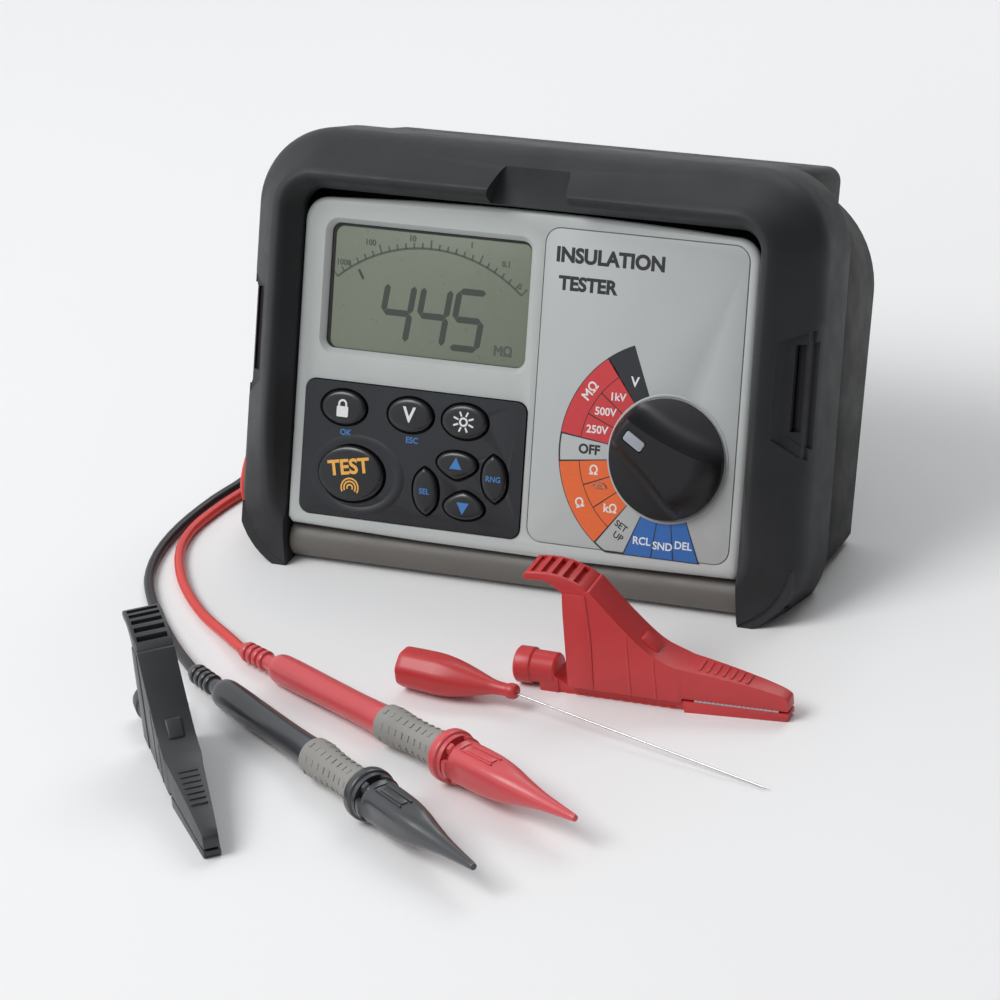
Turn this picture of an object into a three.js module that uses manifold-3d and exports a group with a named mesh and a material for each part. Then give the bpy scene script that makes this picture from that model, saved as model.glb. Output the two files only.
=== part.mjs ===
// Handheld insulation resistance tester standing on its lower edge, lid folded flat behind the
// case, with its two test leads, probes, crocodile clips and a spare probe cap set out in front.
// Units are millimetres, +Z is up, and the tester faces -Y. The floor is z = 0.

import * as THREE from 'three';
import { mergeVertices } from 'three/addons/utils/BufferGeometryUtils.js';
import Module from 'manifold-3d';

const wasm = await Module();
wasm.setup();

// ---------- driving dimensions ----------

// The case leans back. Its own axes are x across, y into the depth from the panel's face, z up the
// panel. PANEL_HEIGHT is the height of the panel's centre above the floor.
const LEAN = THREE.MathUtils.degToRad(22);
const PANEL_HEIGHT = 66.4;

const CASE = { halfWidth: 101.5, top: 77.5, bottom: -74, topRadius: 27, bottomRadius: 28 };
const CREST_DEPTH = -10;
const SEAM_DEPTH = 28;
const BEVEL_WIDTH = 13.5;
const FRAME_WALL = 3.5;
const OPENING = { halfWidth: 81.4 };
const LEDGE_DEPTH = 3.2;
const GAP = 0.4;

const PANEL = { halfWidth: 81, top: 54.6, crown: 2.2, bottom: -55.3, sag: 1.2, radius: 8, depth: 2.4 };
const DIAL = { x: 54.2, z: -18.9, radius: 19.2 };
const LABEL = { left: 6.6, right: 77.4, bottom: -51, top: 52, radius: 5, thickness: 0.5 };
const WINDOW_FACE = 2.7;
const LCD = { left: -71.2, right: 0.8, bottom: 4.8, top: 46.2, radius: 3 };
const KEYPAD = { left: -76.6, right: 3.8, bottom: -51.2, top: -6.2, radius: 3.5 };
const KEYPAD_FACE = -0.4;
const KEY_PROUD = 1.1;
const KEY_TRAVEL = 1;
const MAT_FACE = 3.2;
const BOARD_DEPTH = 8;

// Key centres and half sizes on the panel; turn is in degrees, shape names an outline below.
const KEYS = [
  { name: 'button_lock', x: -62, z: -14.6, rx: 8.2, rz: 5.7, shape: 'oval' },
  { name: 'button_volts', x: -37.6, z: -14.6, rx: 8.2, rz: 5.7, shape: 'oval' },
  { name: 'button_light', x: -17.8, z: -14.6, rx: 8.2, rz: 5.7, shape: 'oval' },
  { name: 'button_test', x: -58, z: -36.4, rx: 12.2, rz: 9.3, shape: 'oval' },
  { name: 'button_up', x: -19.6, z: -28.8, rx: 7.3, rz: 4.7, shape: 'fan', turn: 180 },
  { name: 'button_right', x: -5.9, z: -32.4, rx: 4.5, rz: 7.8, shape: 'lens', turn: 6 },
  { name: 'button_down', x: -16.2, z: -43, rx: 7.3, rz: 4.7, shape: 'fan', turn: 0 },
  { name: 'button_left', x: -30.4, z: -39.2, rx: 4.5, rz: 7.8, shape: 'lens', turn: 6 },
];

const REAR_CASE = { halfWidth: 97.5, top: 73.5, bottom: -50, topRadius: 24, bottomRadius: 12 };
const REAR_WALL = 2.4;
const REAR_FACE = 28.2;

const CASE_SCREWS = [[-62, 62], [62, 62], [-74, -38], [74, -38]];
const DOOR = { left: -45, right: 45, bottom: -30, top: 34 };

// The lid's pivot is the barrel between the two legs.
const PIVOT = { y: 8.5, z: -61 };
const BARREL_RADIUS = 6.3;
const PIN_RADIUS = 2.5;
const PIN_HOLE = 2.8;
const LID = { halfWidth: 98.5, top: 71, bottom: -60, topRadius: 36, bottomRadius: 16, wall: 2.6 };
const LID_RAIL = { left: -82, right: 82, bottom: 60, top: 75.6, topRadius: 5, bottomRadius: 2 };
const LID_FACE = 28.6;
const LID_CLEARANCE = 2.6;

// A pocket in the left wall holds the two test sockets and their plugs.
const POCKET = { inner: -87.5, front: 6.5, bottom: -46, top: 27 };
const SOCKETS = { z: 17, depths: { red: 12, black: 22.6 } };
const PLUG_X = -94.3;
const PLUG_RADIUS = 4.2;

const CORD_RADIUS = 1.75;
const CORD_SIDES = 8;
const CORD_STEP = 9;
const COIL = { inner: 13.4, outer: 24.6, height: 7.2 };

const RED = '#d8414a';
const BLACK = '#3b3d3e';
const CHARCOAL = '#2f3032';
const PALE_GREY = '#b4b8b6';
const GRIP_GREY = '#8f8e89';
const STEEL = '#b9bcc0';

// ---------- making solids ----------

function solidOf(geometry) {
  const plain = geometry.clone();
  for (const key of Object.keys(plain.attributes)) {
    if (key !== 'position') plain.deleteAttribute(key);
  }
  const merged = mergeVertices(plain, 1e-4);
  const mesh = new wasm.Mesh({
    numProp: 3,
    vertProperties: new Float32Array(merged.attributes.position.array),
    triVerts: new Uint32Array(merged.index.array),
  });
  return new wasm.Manifold(mesh);
}

function geometryOf(solid) {
  const mesh = solid.getMesh();
  const geometry = new THREE.BufferGeometry();
  geometry.setAttribute('position', new THREE.BufferAttribute(new Float32Array(mesh.vertProperties), 3));
  geometry.setIndex(new THREE.BufferAttribute(new Uint32Array(mesh.triVerts), 1));
  geometry.computeVertexNormals();
  return geometry;
}

const join = (first, ...others) => others.reduce((all, solid) => all.add(solid), first);
const cut = (first, ...others) => others.reduce((rest, solid) => rest.subtract(solid), first);

// A box from its low and high corners.
function block(low, high) {
  const size = high.map((value, i) => value - low[i]);
  const geometry = new THREE.BoxGeometry(...size);
  geometry.translate(...low.map((value, i) => value + size[i] / 2));
  return solidOf(geometry);
}

// A rod from one end to the other; endRadius makes it taper.
function rod(from, to, radius, sides = 16, endRadius = radius) {
  const start = new THREE.Vector3(...from);
  const along = new THREE.Vector3(...to).sub(start);
  const geometry = new THREE.CylinderGeometry(endRadius, radius, along.length(), sides);
  geometry.translate(0, along.length() / 2, 0);
  const turn = new THREE.Quaternion().setFromUnitVectors(new THREE.Vector3(0, 1, 0), along.normalize());
  geometry.applyQuaternion(turn);
  geometry.translate(...from);
  return solidOf(geometry);
}

// Solid of revolution about x from [x, radius] stations that start and end on the axis.
function turned(stations, sides = 20) {
  const profile = stations.map(([x, radius]) => new THREE.Vector2(radius, x));
  const geometry = new THREE.LatheGeometry(profile, sides);
  geometry.rotateZ(-Math.PI / 2);
  return solidOf(geometry);
}

// A flat outline in the panel's plane, given as [x, z] points, made solid between two depths.
function slab(points, front, back) {
  const shape = new THREE.Shape(points.map(([x, z]) => new THREE.Vector2(x, z)));
  const geometry = new THREE.ExtrudeGeometry(shape, { depth: back - front, bevelEnabled: false });
  geometry.rotateX(Math.PI / 2);
  geometry.translate(0, back, 0);
  return solidOf(geometry);
}

// A floor plan given as [x, y] points, made solid between two heights.
function upright(points, low, high) {
  const shape = new THREE.Shape(points.map(([x, y]) => new THREE.Vector2(x, y)));
  const geometry = new THREE.ExtrudeGeometry(shape, { depth: high - low, bevelEnabled: false });
  geometry.translate(0, 0, low);
  return solidOf(geometry);
}

// A side profile given as [y, z] points, made solid between two x values.
function sideSlab(points, left, right) {
  const shape = new THREE.Shape(points.map(([y, z]) => new THREE.Vector2(y, z)));
  const geometry = new THREE.ExtrudeGeometry(shape, { depth: right - left, bevelEnabled: false });
  geometry.rotateZ(Math.PI / 2);
  geometry.rotateY(Math.PI / 2);
  geometry.translate(left, 0, 0);
  return solidOf(geometry);
}

// Closed rounded rectangle as [x, z] points, always with the same count for the same steps.
function roundedOutline({ left, right, bottom, top, topRadius, bottomRadius }, steps = 6) {
  const corners = [
    [right - topRadius, top - topRadius, topRadius, 0],
    [left + topRadius, top - topRadius, topRadius, 90],
    [left + bottomRadius, bottom + bottomRadius, bottomRadius, 180],
    [right - bottomRadius, bottom + bottomRadius, bottomRadius, 270],
  ];
  const points = [];
  for (const [x, z, radius, start] of corners) {
    for (let i = 0; i <= steps; i += 1) {
      const angle = THREE.MathUtils.degToRad(start + (90 * i) / steps);
      points.push([x + radius * Math.cos(angle), z + radius * Math.sin(angle)]);
    }
  }
  return points;
}

// The case's outline drawn in by an amount; the corner radii shrink with it.
function insetOutline(box, inset, lowInset = inset, steps = 6) {
  return roundedOutline({
    left: -box.halfWidth + inset,
    right: box.halfWidth - inset,
    bottom: box.bottom + lowInset,
    top: box.top - inset,
    topRadius: Math.max(box.topRadius - inset, 3),
    bottomRadius: Math.max(box.bottomRadius - lowInset, 3),
  }, steps);
}

// Skins a stack of equal loops [{ points, depth }], either closed with end faces or, as a ring,
// joined from the last loop back to the first.
function loft(loops, ring = false) {
  const count = loops[0].points.length;
  const positions = loops.flatMap(({ points, depth }) => points.flatMap(([x, z]) => [x, depth, z]));
  const faces = [];
  const bands = ring ? loops.length : loops.length - 1;
  for (let band = 0; band < bands; band += 1) {
    const here = band * count;
    const next = ((band + 1) % loops.length) * count;
    for (let i = 0; i < count; i += 1) {
      const j = (i + 1) % count;
      faces.push(here + i, next + i, next + j, here + i, next + j, here + j);
    }
  }
  if (!ring) {
    const cap = THREE.ShapeUtils.triangulateShape(
      loops[0].points.map(([x, z]) => new THREE.Vector2(x, z)), []);
    const last = (loops.length - 1) * count;
    for (const [a, b, c] of cap) {
      faces.push(a, b, c);
      faces.push(last + c, last + b, last + a);
    }
  }
  const geometry = new THREE.BufferGeometry();
  geometry.setAttribute('position', new THREE.Float32BufferAttribute(positions, 3));
  geometry.setIndex(faces);
  const solid = solidOf(geometry);
  if (solid.volume() > 0) return solid;
  geometry.setIndex([...faces].reverse());
  return solidOf(geometry);
}

// ---------- the scene ----------

const tester = new THREE.Group();
const leaning = new THREE.Group();
leaning.position.set(0, 0, PANEL_HEIGHT);
leaning.rotation.x = -LEAN;
tester.add(leaning);
leaning.updateMatrixWorld(true);

function place(parent, name, solid, color, roughness = 0.6, metalness = 0) {
  const material = new THREE.MeshStandardMaterial({ color, roughness, metalness });
  const mesh = new THREE.Mesh(geometryOf(solid), material);
  mesh.name = name;
  parent.add(mesh);
  return mesh;
}

// Everything under a height above the floor, in the leaning case's own axes.
function belowFloor(height) {
  const ground = new THREE.BoxGeometry(600, 600, 200);
  ground.translate(0, 0, height - 100);
  ground.applyMatrix4(leaning.matrixWorld.clone().invert());
  return solidOf(ground);
}

const mirrored = [-1, 1];
const sideName = (side) => (side < 0 ? 'left' : 'right');

// ---------- front frame ----------

// Recess for the neck strap on each outer bevel: [x, depth] section, the slot in it, and heights.
const STRAP = {
  section: [[91, -20], [91, -4.4], [93, -2], [98.4, 2.6], [99.5, 4.8], [110, 4.8], [110, -20]],
  slot: [94.8, 97.8],
  foot: -11.5,
  head: 28,
  low: -5.6,
  high: 22.6,
};

// The raised rim of the frame sinks back from this height down to the bottom of the legs.
const LEG = { from: -18, reach: 50, sink: 0.9, sidePoints: 14 };

function sinkRim(point) {
  const t = Math.min(Math.max((LEG.from - point[2]) / LEG.reach, 0), 1);
  if (point[1] < 0) point[1] *= 1 - LEG.sink * t * t * (3 - 2 * t);
}

// The outline with points added along its two long side edges.
function withSidePoints(outline) {
  return outline.flatMap(([x, z], i) => {
    const [nextX, nextZ] = outline[(i + 1) % outline.length];
    const parts = Math.abs(nextZ - z) > 60 ? LEG.sidePoints : 1;
    return Array.from({ length: parts }, (_, k) => {
      const t = k / parts;
      return [x + (nextX - x) * t, z + (nextZ - z) * t];
    });
  });
}

function frontFrame() {
  const open = CASE.halfWidth - OPENING.halfWidth;
  const sections = [
    [0, SEAM_DEPTH], [0, 6], [1.2, 3.6], [BEVEL_WIDTH - 1.2, -8], [BEVEL_WIDTH + 0.3, CREST_DEPTH + 0.3],
    [BEVEL_WIDTH + 1.6, CREST_DEPTH], [BEVEL_WIDTH + 3, CREST_DEPTH + 0.9], [open, -0.8],
    [open, LEDGE_DEPTH], [FRAME_WALL, LEDGE_DEPTH], [FRAME_WALL, SEAM_DEPTH],
  ];
  const ring = loft(sections.map(([inset, depth]) => (
    { points: withSidePoints(insetOutline(CASE, inset, inset * 0.75)), depth })), true).warp(sinkRim);
  const openBottom = block([-OPENING.halfWidth, -30, -120], [OPENING.halfWidth, 60, -40]);
  const notch = slab([[-15.5, 50], [19.5, 50], [14, 72], [-8, 72]], CREST_DEPTH - 2, -2);
  const bosses = mirrored.map((side) => {
    const [low, high] = [OPENING.halfWidth, CASE.halfWidth - FRAME_WALL + 1].map((x) => side * x);
    return block([Math.min(low, high), LEDGE_DEPTH - 1, -78], [Math.max(low, high), 17, -50.5]);
  });
  const outline = insetOutline(CASE, 0);
  const envelope = slab(outline, -20, 40);
  const slots = mirrored.flatMap((side) => {
    const [low, high] = STRAP.slot.map((x) => side * x).sort((a, b) => a - b);
    const recess = STRAP.section.map(([x, depth]) => [side * x, depth]);
    return [
      block([low, -20, STRAP.low], [high, LEDGE_DEPTH + 1, STRAP.high]),
      upright(recess, STRAP.foot, STRAP.head),
    ];
  });
  const pocket = block([-110, POCKET.front, POCKET.bottom], [-90, 40, POCKET.top]);
  const pinHole = rod([-96, PIVOT.y, PIVOT.z], [96, PIVOT.y, PIVOT.z], PIN_HOLE);
  const body = join(ring, ...bosses.map((boss) => boss.intersect(envelope)));
  return cut(body, openBottom, notch, ...slots, pocket, pinHole, belowFloor(0));
}

// ---------- rear case ----------

function rearCase() {
  const sections = [[0, LEDGE_DEPTH + GAP], [0, REAR_FACE - 2.5], [2.5, REAR_FACE]];
  const shell = loft(sections.map(([inset, depth]) => ({ points: insetOutline(REAR_CASE, inset), depth })));
  const cavity = loft([[REAR_WALL, 0], [REAR_WALL, REAR_FACE - REAR_WALL]].map(([inset, depth]) => (
    { points: insetOutline(REAR_CASE, inset), depth })));
  const pocket = block([-110, POCKET.front - 1, POCKET.bottom - 6], [POCKET.inner, 40, POCKET.top + 2]);
  const lining = block([-100, POCKET.front - 3, POCKET.bottom - 6], [POCKET.inner + REAR_WALL, 40, POCKET.top + 4]);
  const holes = Object.values(SOCKETS.depths).map((y) => (
    rod([-92, y, SOCKETS.z], [-70, y, SOCKETS.z], 4.4)));
  const screwHoles = CASE_SCREWS.map(([x, z]) => rod([x, 20, z], [x, 40, z], 3.4));
  const door = block([DOOR.left - GAP, 20, DOOR.bottom - GAP], [DOOR.right + GAP, 40, DOOR.top + GAP]);
  return cut(shell, cavity.subtract(lining), pocket, ...holes, ...screwHoles, door);
}


// ---------- panel, display, keys and knob ----------

function bowedPanel() {
  const points = [];
  const steps = 8;
  for (let i = 0; i <= steps; i += 1) {
    const t = 1 - (2 * i) / steps;
    const x = t * (PANEL.halfWidth - PANEL.radius);
    points.push([x, PANEL.top + PANEL.crown * (1 - t * t)]);
  }
  const shoulder = PANEL.top - PANEL.radius;
  points.push([-PANEL.halfWidth + 2.3, PANEL.top - 2.6], [-PANEL.halfWidth, shoulder]);
  for (let i = 0; i <= steps; i += 1) {
    const t = -1 + (2 * i) / steps;
    points.push([t * PANEL.halfWidth, PANEL.bottom - PANEL.sag * (1 - t * t)]);
  }
  points.push([PANEL.halfWidth, shoulder], [PANEL.halfWidth - 2.3, PANEL.top - 2.6]);
  return points;
}

const windowOutline = (box, grow = 0) => roundedOutline({
  left: box.left - grow,
  right: box.right + grow,
  bottom: box.bottom - grow,
  top: box.top + grow,
  topRadius: box.radius + grow,
  bottomRadius: box.radius + grow,
}, 4);

// Display window with a flange that sits behind the edge of the panel's opening.
function makeWindow() {
  const face = slab(windowOutline(LCD), WINDOW_FACE, WINDOW_FACE + 0.5);
  const flange = slab(windowOutline(LCD, 1.2), WINDOW_FACE + 0.3, WINDOW_FACE + 0.8);
  return join(face, flange);
}

function frontPanel() {
  const plate = slab(bowedPanel(), 0, PANEL.depth);
  const bezel = loft([
    { points: windowOutline(LCD, 1.6), depth: -1 },
    { points: windowOutline(LCD, 1.6), depth: -0.01 },
    { points: windowOutline(LCD, 0.2), depth: 1.2 },
    { points: windowOutline(LCD, 0.2), depth: 5 },
  ]);
  const keypad = slab(windowOutline(KEYPAD, 0.3), -1, 5);
  const labelSeat = slab(windowOutline(LABEL, 0.3), -1, LABEL.thickness + 0.3);
  const shaftHole = rod([DIAL.x, -2, DIAL.z], [DIAL.x, 6, DIAL.z], 4.2);
  return cut(plate, bezel, keypad, labelSeat, shaftHole);
}

function dialLabel() {
  const plate = slab(windowOutline(LABEL), 0, LABEL.thickness);
  return plate.subtract(rod([DIAL.x, -2, DIAL.z], [DIAL.x, 6, DIAL.z], 4.2));
}

// Key outlines: an oval, a pointed lens, or a fan whose narrow end points up.
function keyOutline({ x, z, rx, rz, shape, turn = 0 }, grow = 0) {
  const steps = 20;
  const tilt = THREE.MathUtils.degToRad(turn);
  const points = [];
  for (let i = 0; i < steps; i += 1) {
    const angle = (2 * Math.PI * i) / steps;
    let px = Math.cos(angle) * (rx + grow);
    let pz = Math.sin(angle) * (rz + grow);
    if (shape === 'lens') px *= 1 - 0.55 * Math.sin(angle) ** 6;
    if (shape === 'fan') {
      px *= 1 - 0.42 * Math.max(Math.sin(angle), 0) ** 2;
      pz *= Math.sin(angle) < 0 ? 0.86 : 1.1;
    }
    points.push([
      x + px * Math.cos(tilt) - pz * Math.sin(tilt),
      z + px * Math.sin(tilt) + pz * Math.cos(tilt),
    ]);
  }
  return points;
}

function keypadPlate() {
  const plate = slab(windowOutline(KEYPAD), KEYPAD_FACE, 1.6);
  return cut(plate, ...KEYS.map((key) => slab(keyOutline(key, 0.4), -5, 5)));
}

function keyCap(key) {
  return loft([
    { points: keyOutline(key, -0.9), depth: KEYPAD_FACE - KEY_PROUD },
    { points: keyOutline(key), depth: KEYPAD_FACE - KEY_PROUD + 0.6 },
    { points: keyOutline(key), depth: MAT_FACE - KEY_TRAVEL - 0.4 },
  ]);
}

function keypadMat() {
  const sheet = slab(windowOutline({ ...KEYPAD, radius: 5 }, -4.2), BOARD_DEPTH - 1.5, BOARD_DEPTH - 0.3);
  const domes = KEYS.map(({ x, z, rx, rz }) => {
    const radius = Math.min(rx, rz) * 0.7;
    return rod([x, BOARD_DEPTH - 1, z], [x, MAT_FACE, z], radius, 12, radius * 0.7);
  });
  return join(sheet, ...domes);
}

const KNOB_ANGLE = THREE.MathUtils.degToRad(148);
const KNOB_RADIUS = 19.8;
const KNOB_TOP = -3;
const RIDGE_TOP = -8.2;

// The knob's own outline helper: x runs along the ridge towards the pointer.
function onDial(x, z) {
  const c = Math.cos(KNOB_ANGLE);
  const s = Math.sin(KNOB_ANGLE);
  return [DIAL.x + x * c - z * s, DIAL.z + x * s + z * c];
}

function circleOnDial(radius, steps = 40) {
  return Array.from({ length: steps }, (_, i) => {
    const angle = (2 * Math.PI * i) / steps;
    return onDial(radius * Math.cos(angle), radius * Math.sin(angle));
  });
}

// The grip is narrow at the pointer and flares to the knob's edge at its far end.
function ridgeOutline(length, narrow, broad, steps = 8) {
  const sides = [1, -1].map((side) => Array.from({ length: steps + 1 }, (_, i) => {
    const t = i / steps;
    const x = length * (1 - 2 * t);
    const half = narrow + (broad - narrow) * t ** 1.8;
    return onDial(x, side * Math.min(half, Math.sqrt(length ** 2 - x * x) + narrow * 0.5));
  }));
  return [...sides[0], ...sides[1].reverse()];
}

function selectorKnob() {
  const disc = loft([
    { points: circleOnDial(KNOB_RADIUS), depth: -0.7 },
    { points: circleOnDial(KNOB_RADIUS), depth: -1.8 },
    { points: circleOnDial(KNOB_RADIUS - 1), depth: KNOB_TOP },
  ]);
  const ridge = loft([
    { points: ridgeOutline(17.8, 6.4, 11.6), depth: KNOB_TOP + 1 },
    { points: ridgeOutline(17, 4.8, 10), depth: RIDGE_TOP + 1 },
    { points: ridgeOutline(15.6, 4, 8.6), depth: RIDGE_TOP },
  ]);
  const seat = slab([onDial(6.4, -2.1), onDial(14.6, -2.1), onDial(14.6, 2.1), onDial(6.4, 2.1)],
    RIDGE_TOP - 2, RIDGE_TOP + 1.2);
  const bore = rod([DIAL.x, 1, DIAL.z], [DIAL.x, -6, DIAL.z], 3.3);
  return cut(join(disc, ridge), seat, bore);
}

function knobPointer() {
  return slab([onDial(6.7, -1.8), onDial(14.3, -1.8), onDial(14.3, 1.8), onDial(6.7, 1.8)],
    RIDGE_TOP - 0.3, RIDGE_TOP + 0.9);
}

function rotarySwitch() {
  const body = rod([DIAL.x, 3.6, DIAL.z], [DIAL.x, BOARD_DEPTH - 0.3, DIAL.z], 14, 12);
  return body.subtract(rod([DIAL.x, 0, DIAL.z], [DIAL.x, BOARD_DEPTH - 1.5, DIAL.z], 3.4));
}

// ---------- lid ----------

// Everything behind the lid's open rim, which slopes so that the lid is deeper at its top.
function behindRim() {
  const rim = new THREE.BoxGeometry(400, 60, 400);
  rim.translate(0, 30, 0);
  rim.rotateX(-Math.atan(0.066));
  rim.translate(0, 63.2, 0);
  return solidOf(rim);
}

function lid() {
  const outer = loft([[2.4, LID_FACE], [0.4, LID_FACE + 2.2], [0, 40], [1.5, 75]].map(([inset, depth]) => (
    { points: insetOutline(LID, inset), depth })));
  const rail = loft([
    { points: roundedOutline(LID_RAIL), depth: 31 },
    { points: roundedOutline(LID_RAIL), depth: 75 },
  ]);
  const cavity = loft([
    { points: insetOutline(LID, LID.wall), depth: LID_FACE + LID.wall },
    { points: insetOutline(LID, LID.wall + 0.6), depth: 90 },
  ]).subtract(belowFloor(LID_CLEARANCE + LID.wall));
  const tray = cut(join(outer, rail), belowFloor(LID_CLEARANCE), cavity, behindRim());
  const barrel = rod([-81, PIVOT.y, PIVOT.z], [81, PIVOT.y, PIVOT.z], BARREL_RADIUS, 28);
  const arm = [[8.5, -56], [31, -50.8], [31, -56.6], [12, -64.6], [8.5, -65.6]];
  const arms = mirrored.map((side) => {
    const [low, high] = [56, 76].map((x) => side * x).sort((a, b) => a - b);
    return sideSlab(arm, low, high);
  });
  const pinBore = mirrored.map((side) => rod([side * 72, PIVOT.y, PIVOT.z], [side * 90, PIVOT.y, PIVOT.z], PIN_HOLE));
  return cut(join(tray, barrel, ...arms), ...pinBore);
}

// ---------- sockets and plugs ----------

function socketBlock() {
  const [redDepth, blackDepth] = [SOCKETS.depths.red, SOCKETS.depths.black];
  const base = block([-84.5, redDepth - 5, SOCKETS.z - 6], [-76, blackDepth + 3, SOCKETS.z + 6]);
  const collars = [redDepth, blackDepth].map((y) => (
    rod([POCKET.inner - 0.6, y, SOCKETS.z], [-80, y, SOCKETS.z], 4)));
  const bores = [redDepth, blackDepth].map((y) => rod([-95, y, SOCKETS.z], [-77.5, y, SOCKETS.z], 1.95));
  return cut(join(base, ...collars), ...bores);
}

function plug(depth) {
  const top = SOCKETS.z + 6;
  const body = rod([PLUG_X, depth, top], [PLUG_X, depth, top - 22], PLUG_RADIUS, 16);
  const relief = rod([PLUG_X, depth, top - 21], [PLUG_X, depth, top - 36], 3.4, 12, 2.2);
  const nose = rod([PLUG_X, depth, SOCKETS.z], [POCKET.inner - 1, depth, SOCKETS.z], 3.8);
  const pin = rod([PLUG_X, depth, SOCKETS.z], [-79, depth, SOCKETS.z], 1.55);
  return join(body, relief, nose, pin);
}

const PLUG_EXIT_Z = SOCKETS.z + 6 - 36 - 0.3;

// ---------- probes ----------

// Along each probe x runs from the cord's end to the tip.
const PROBE = { tailHeight: 3.98, rise: 0.0444, guard: 112, tip: 168, sleeve: [76, 104.4] };

function probeHandle() {
  const ribs = [3.1, 4, 3.1, 4.1, 3.1, 4.2, 3.3].map((radius, i) => [1.2 + i * 2.3, radius]);
  const [start, end] = PROBE.sleeve;
  const body = turned([
    [0, 0], [0, 2.6], ...ribs, [18, 3.6], [20, 4.7], [25, 5], [60, 4.8], [start - 0.6, 5.3],
    [start - 0.4, 4.2], [end + 0.4, 4.2], [end + 0.6, 5.6], [PROBE.guard - 5, 8.1], [PROBE.guard - 2.6, 8.6],
    [PROBE.guard, 8.4], [PROBE.guard, 5.2], [PROBE.guard + 6, 4.6], [PROBE.guard + 6, 0],
  ]);
  return body.subtract(rod([PROBE.guard - 12, 0, 0], [PROBE.guard + 8, 0, 0], 1.5, 8));
}

function probeSleeve() {
  const [start, end] = PROBE.sleeve;
  return turned([[start, 4.6], [start, 5.9], [start + 4, 6.3], [start + 19, 5.4], [end, 6], [end, 4.6],
    [start, 4.6]]);
}

const probeTip = () => turned([[PROBE.guard - 11, 0], [PROBE.guard - 11, 1.1], [PROBE.guard + 40, 1.1],
  [PROBE.guard + 46, 0]], 8);

// Moulded cap, x from its open end, with a hollow for the probe's nose and metal tip.
function hollowCap(length, mouth, tipRadius, bore) {
  const outer = turned([
    [0, 0], [0, mouth], [1.8, mouth], [2, mouth - 0.6], [length * 0.32, mouth - 0.8],
    [length * 0.46, mouth - 2], [length * 0.72, mouth - 4.4], [length - 1, tipRadius],
    [length, tipRadius * 0.7], [length, 0],
  ]);
  const inner = turned([[-1, 0], [-1, mouth - 1.4], [7, mouth - 2.2], [12, bore], [length - 6, bore],
    [length - 6, 0]], 12);
  return outer.subtract(inner);
}

// ---------- crocodile clips ----------

const CLIP_HALF = 6;
const PLATE_INNER = 4.4;
const STRIP_HALF = 4.1;
const CLIP_PIVOT = { x: 40, z: 11.2 };
const TAIL = { radius: 5.95, end: 13.4, bore: 2.2 };
const LUG = { inner: 1.6, outer: 3.4, radius: 4.3, gap: 0.3 };

// A profile in the clip's own plane, [x, z] with x from the tail, made solid across y.
const clipSlab = (points, half) => slab(points, -half, half);
const clipRod = (x, z, radius, half, sides = 14) => rod([x, -half, z], [x, half, z], radius, sides);

// The jaws narrow towards their tip in plan, the upper one sooner.
const lowerPlan = upright([[-5, -7], [50, -7], [91.6, -3], [93, -3], [93, 3], [91.6, 3], [50, 7], [-5, 7]], -5, 60);
const upperPlan = upright([[-5, -7], [50, -7], [60, -4.2], [91.6, -2.4], [93, -2.4], [93, 2.4], [91.6, 2.4],
  [60, 4.2], [50, 7], [-5, 7]], -5, 60);

function clipBase() {
  const strip = clipSlab([[1, 0], [90.5, 0], [91.4, 1.2], [91.4, 2.8], [57.8, 4], [56, 2.6], [15, 2.6],
    [14, 8.5], [1, 8.5]], CLIP_HALF);
  const rebates = mirrored.map((side) => {
    const [low, high] = [STRIP_HALF, 10].map((y) => side * y).sort((a, b) => a - b);
    return block([14.4, low, -5], [57.6, high, 20]);
  });
  const tail = rod([-0.8, 0, TAIL.radius], [TAIL.end, 0, TAIL.radius], TAIL.radius + 0.05, 18);
  const tailFoot = block([-2, -10, -5], [15, 10, 0]);
  const lugs = mirrored.map((side) => {
    const [low, high] = [LUG.inner, LUG.outer].map((y) => side * y).sort((a, b) => a - b);
    const { x, z } = CLIP_PIVOT;
    return join(rod([x, low, z], [x, high, z], LUG.radius, 16),
      block([x - LUG.radius, low, 1], [x + LUG.radius, high, z]));
  });
  const tailBore = rod([-2, 0, TAIL.radius], [12, 0, TAIL.radius], TAIL.bore, 12);
  const pinHole = clipRod(CLIP_PIVOT.x, CLIP_PIVOT.z, 1.7, 20);
  const body = join(cut(strip, ...rebates), ...lugs, cut(tail, tailFoot));
  return cut(body, tailBore, pinHole).intersect(lowerPlan);
}

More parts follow.
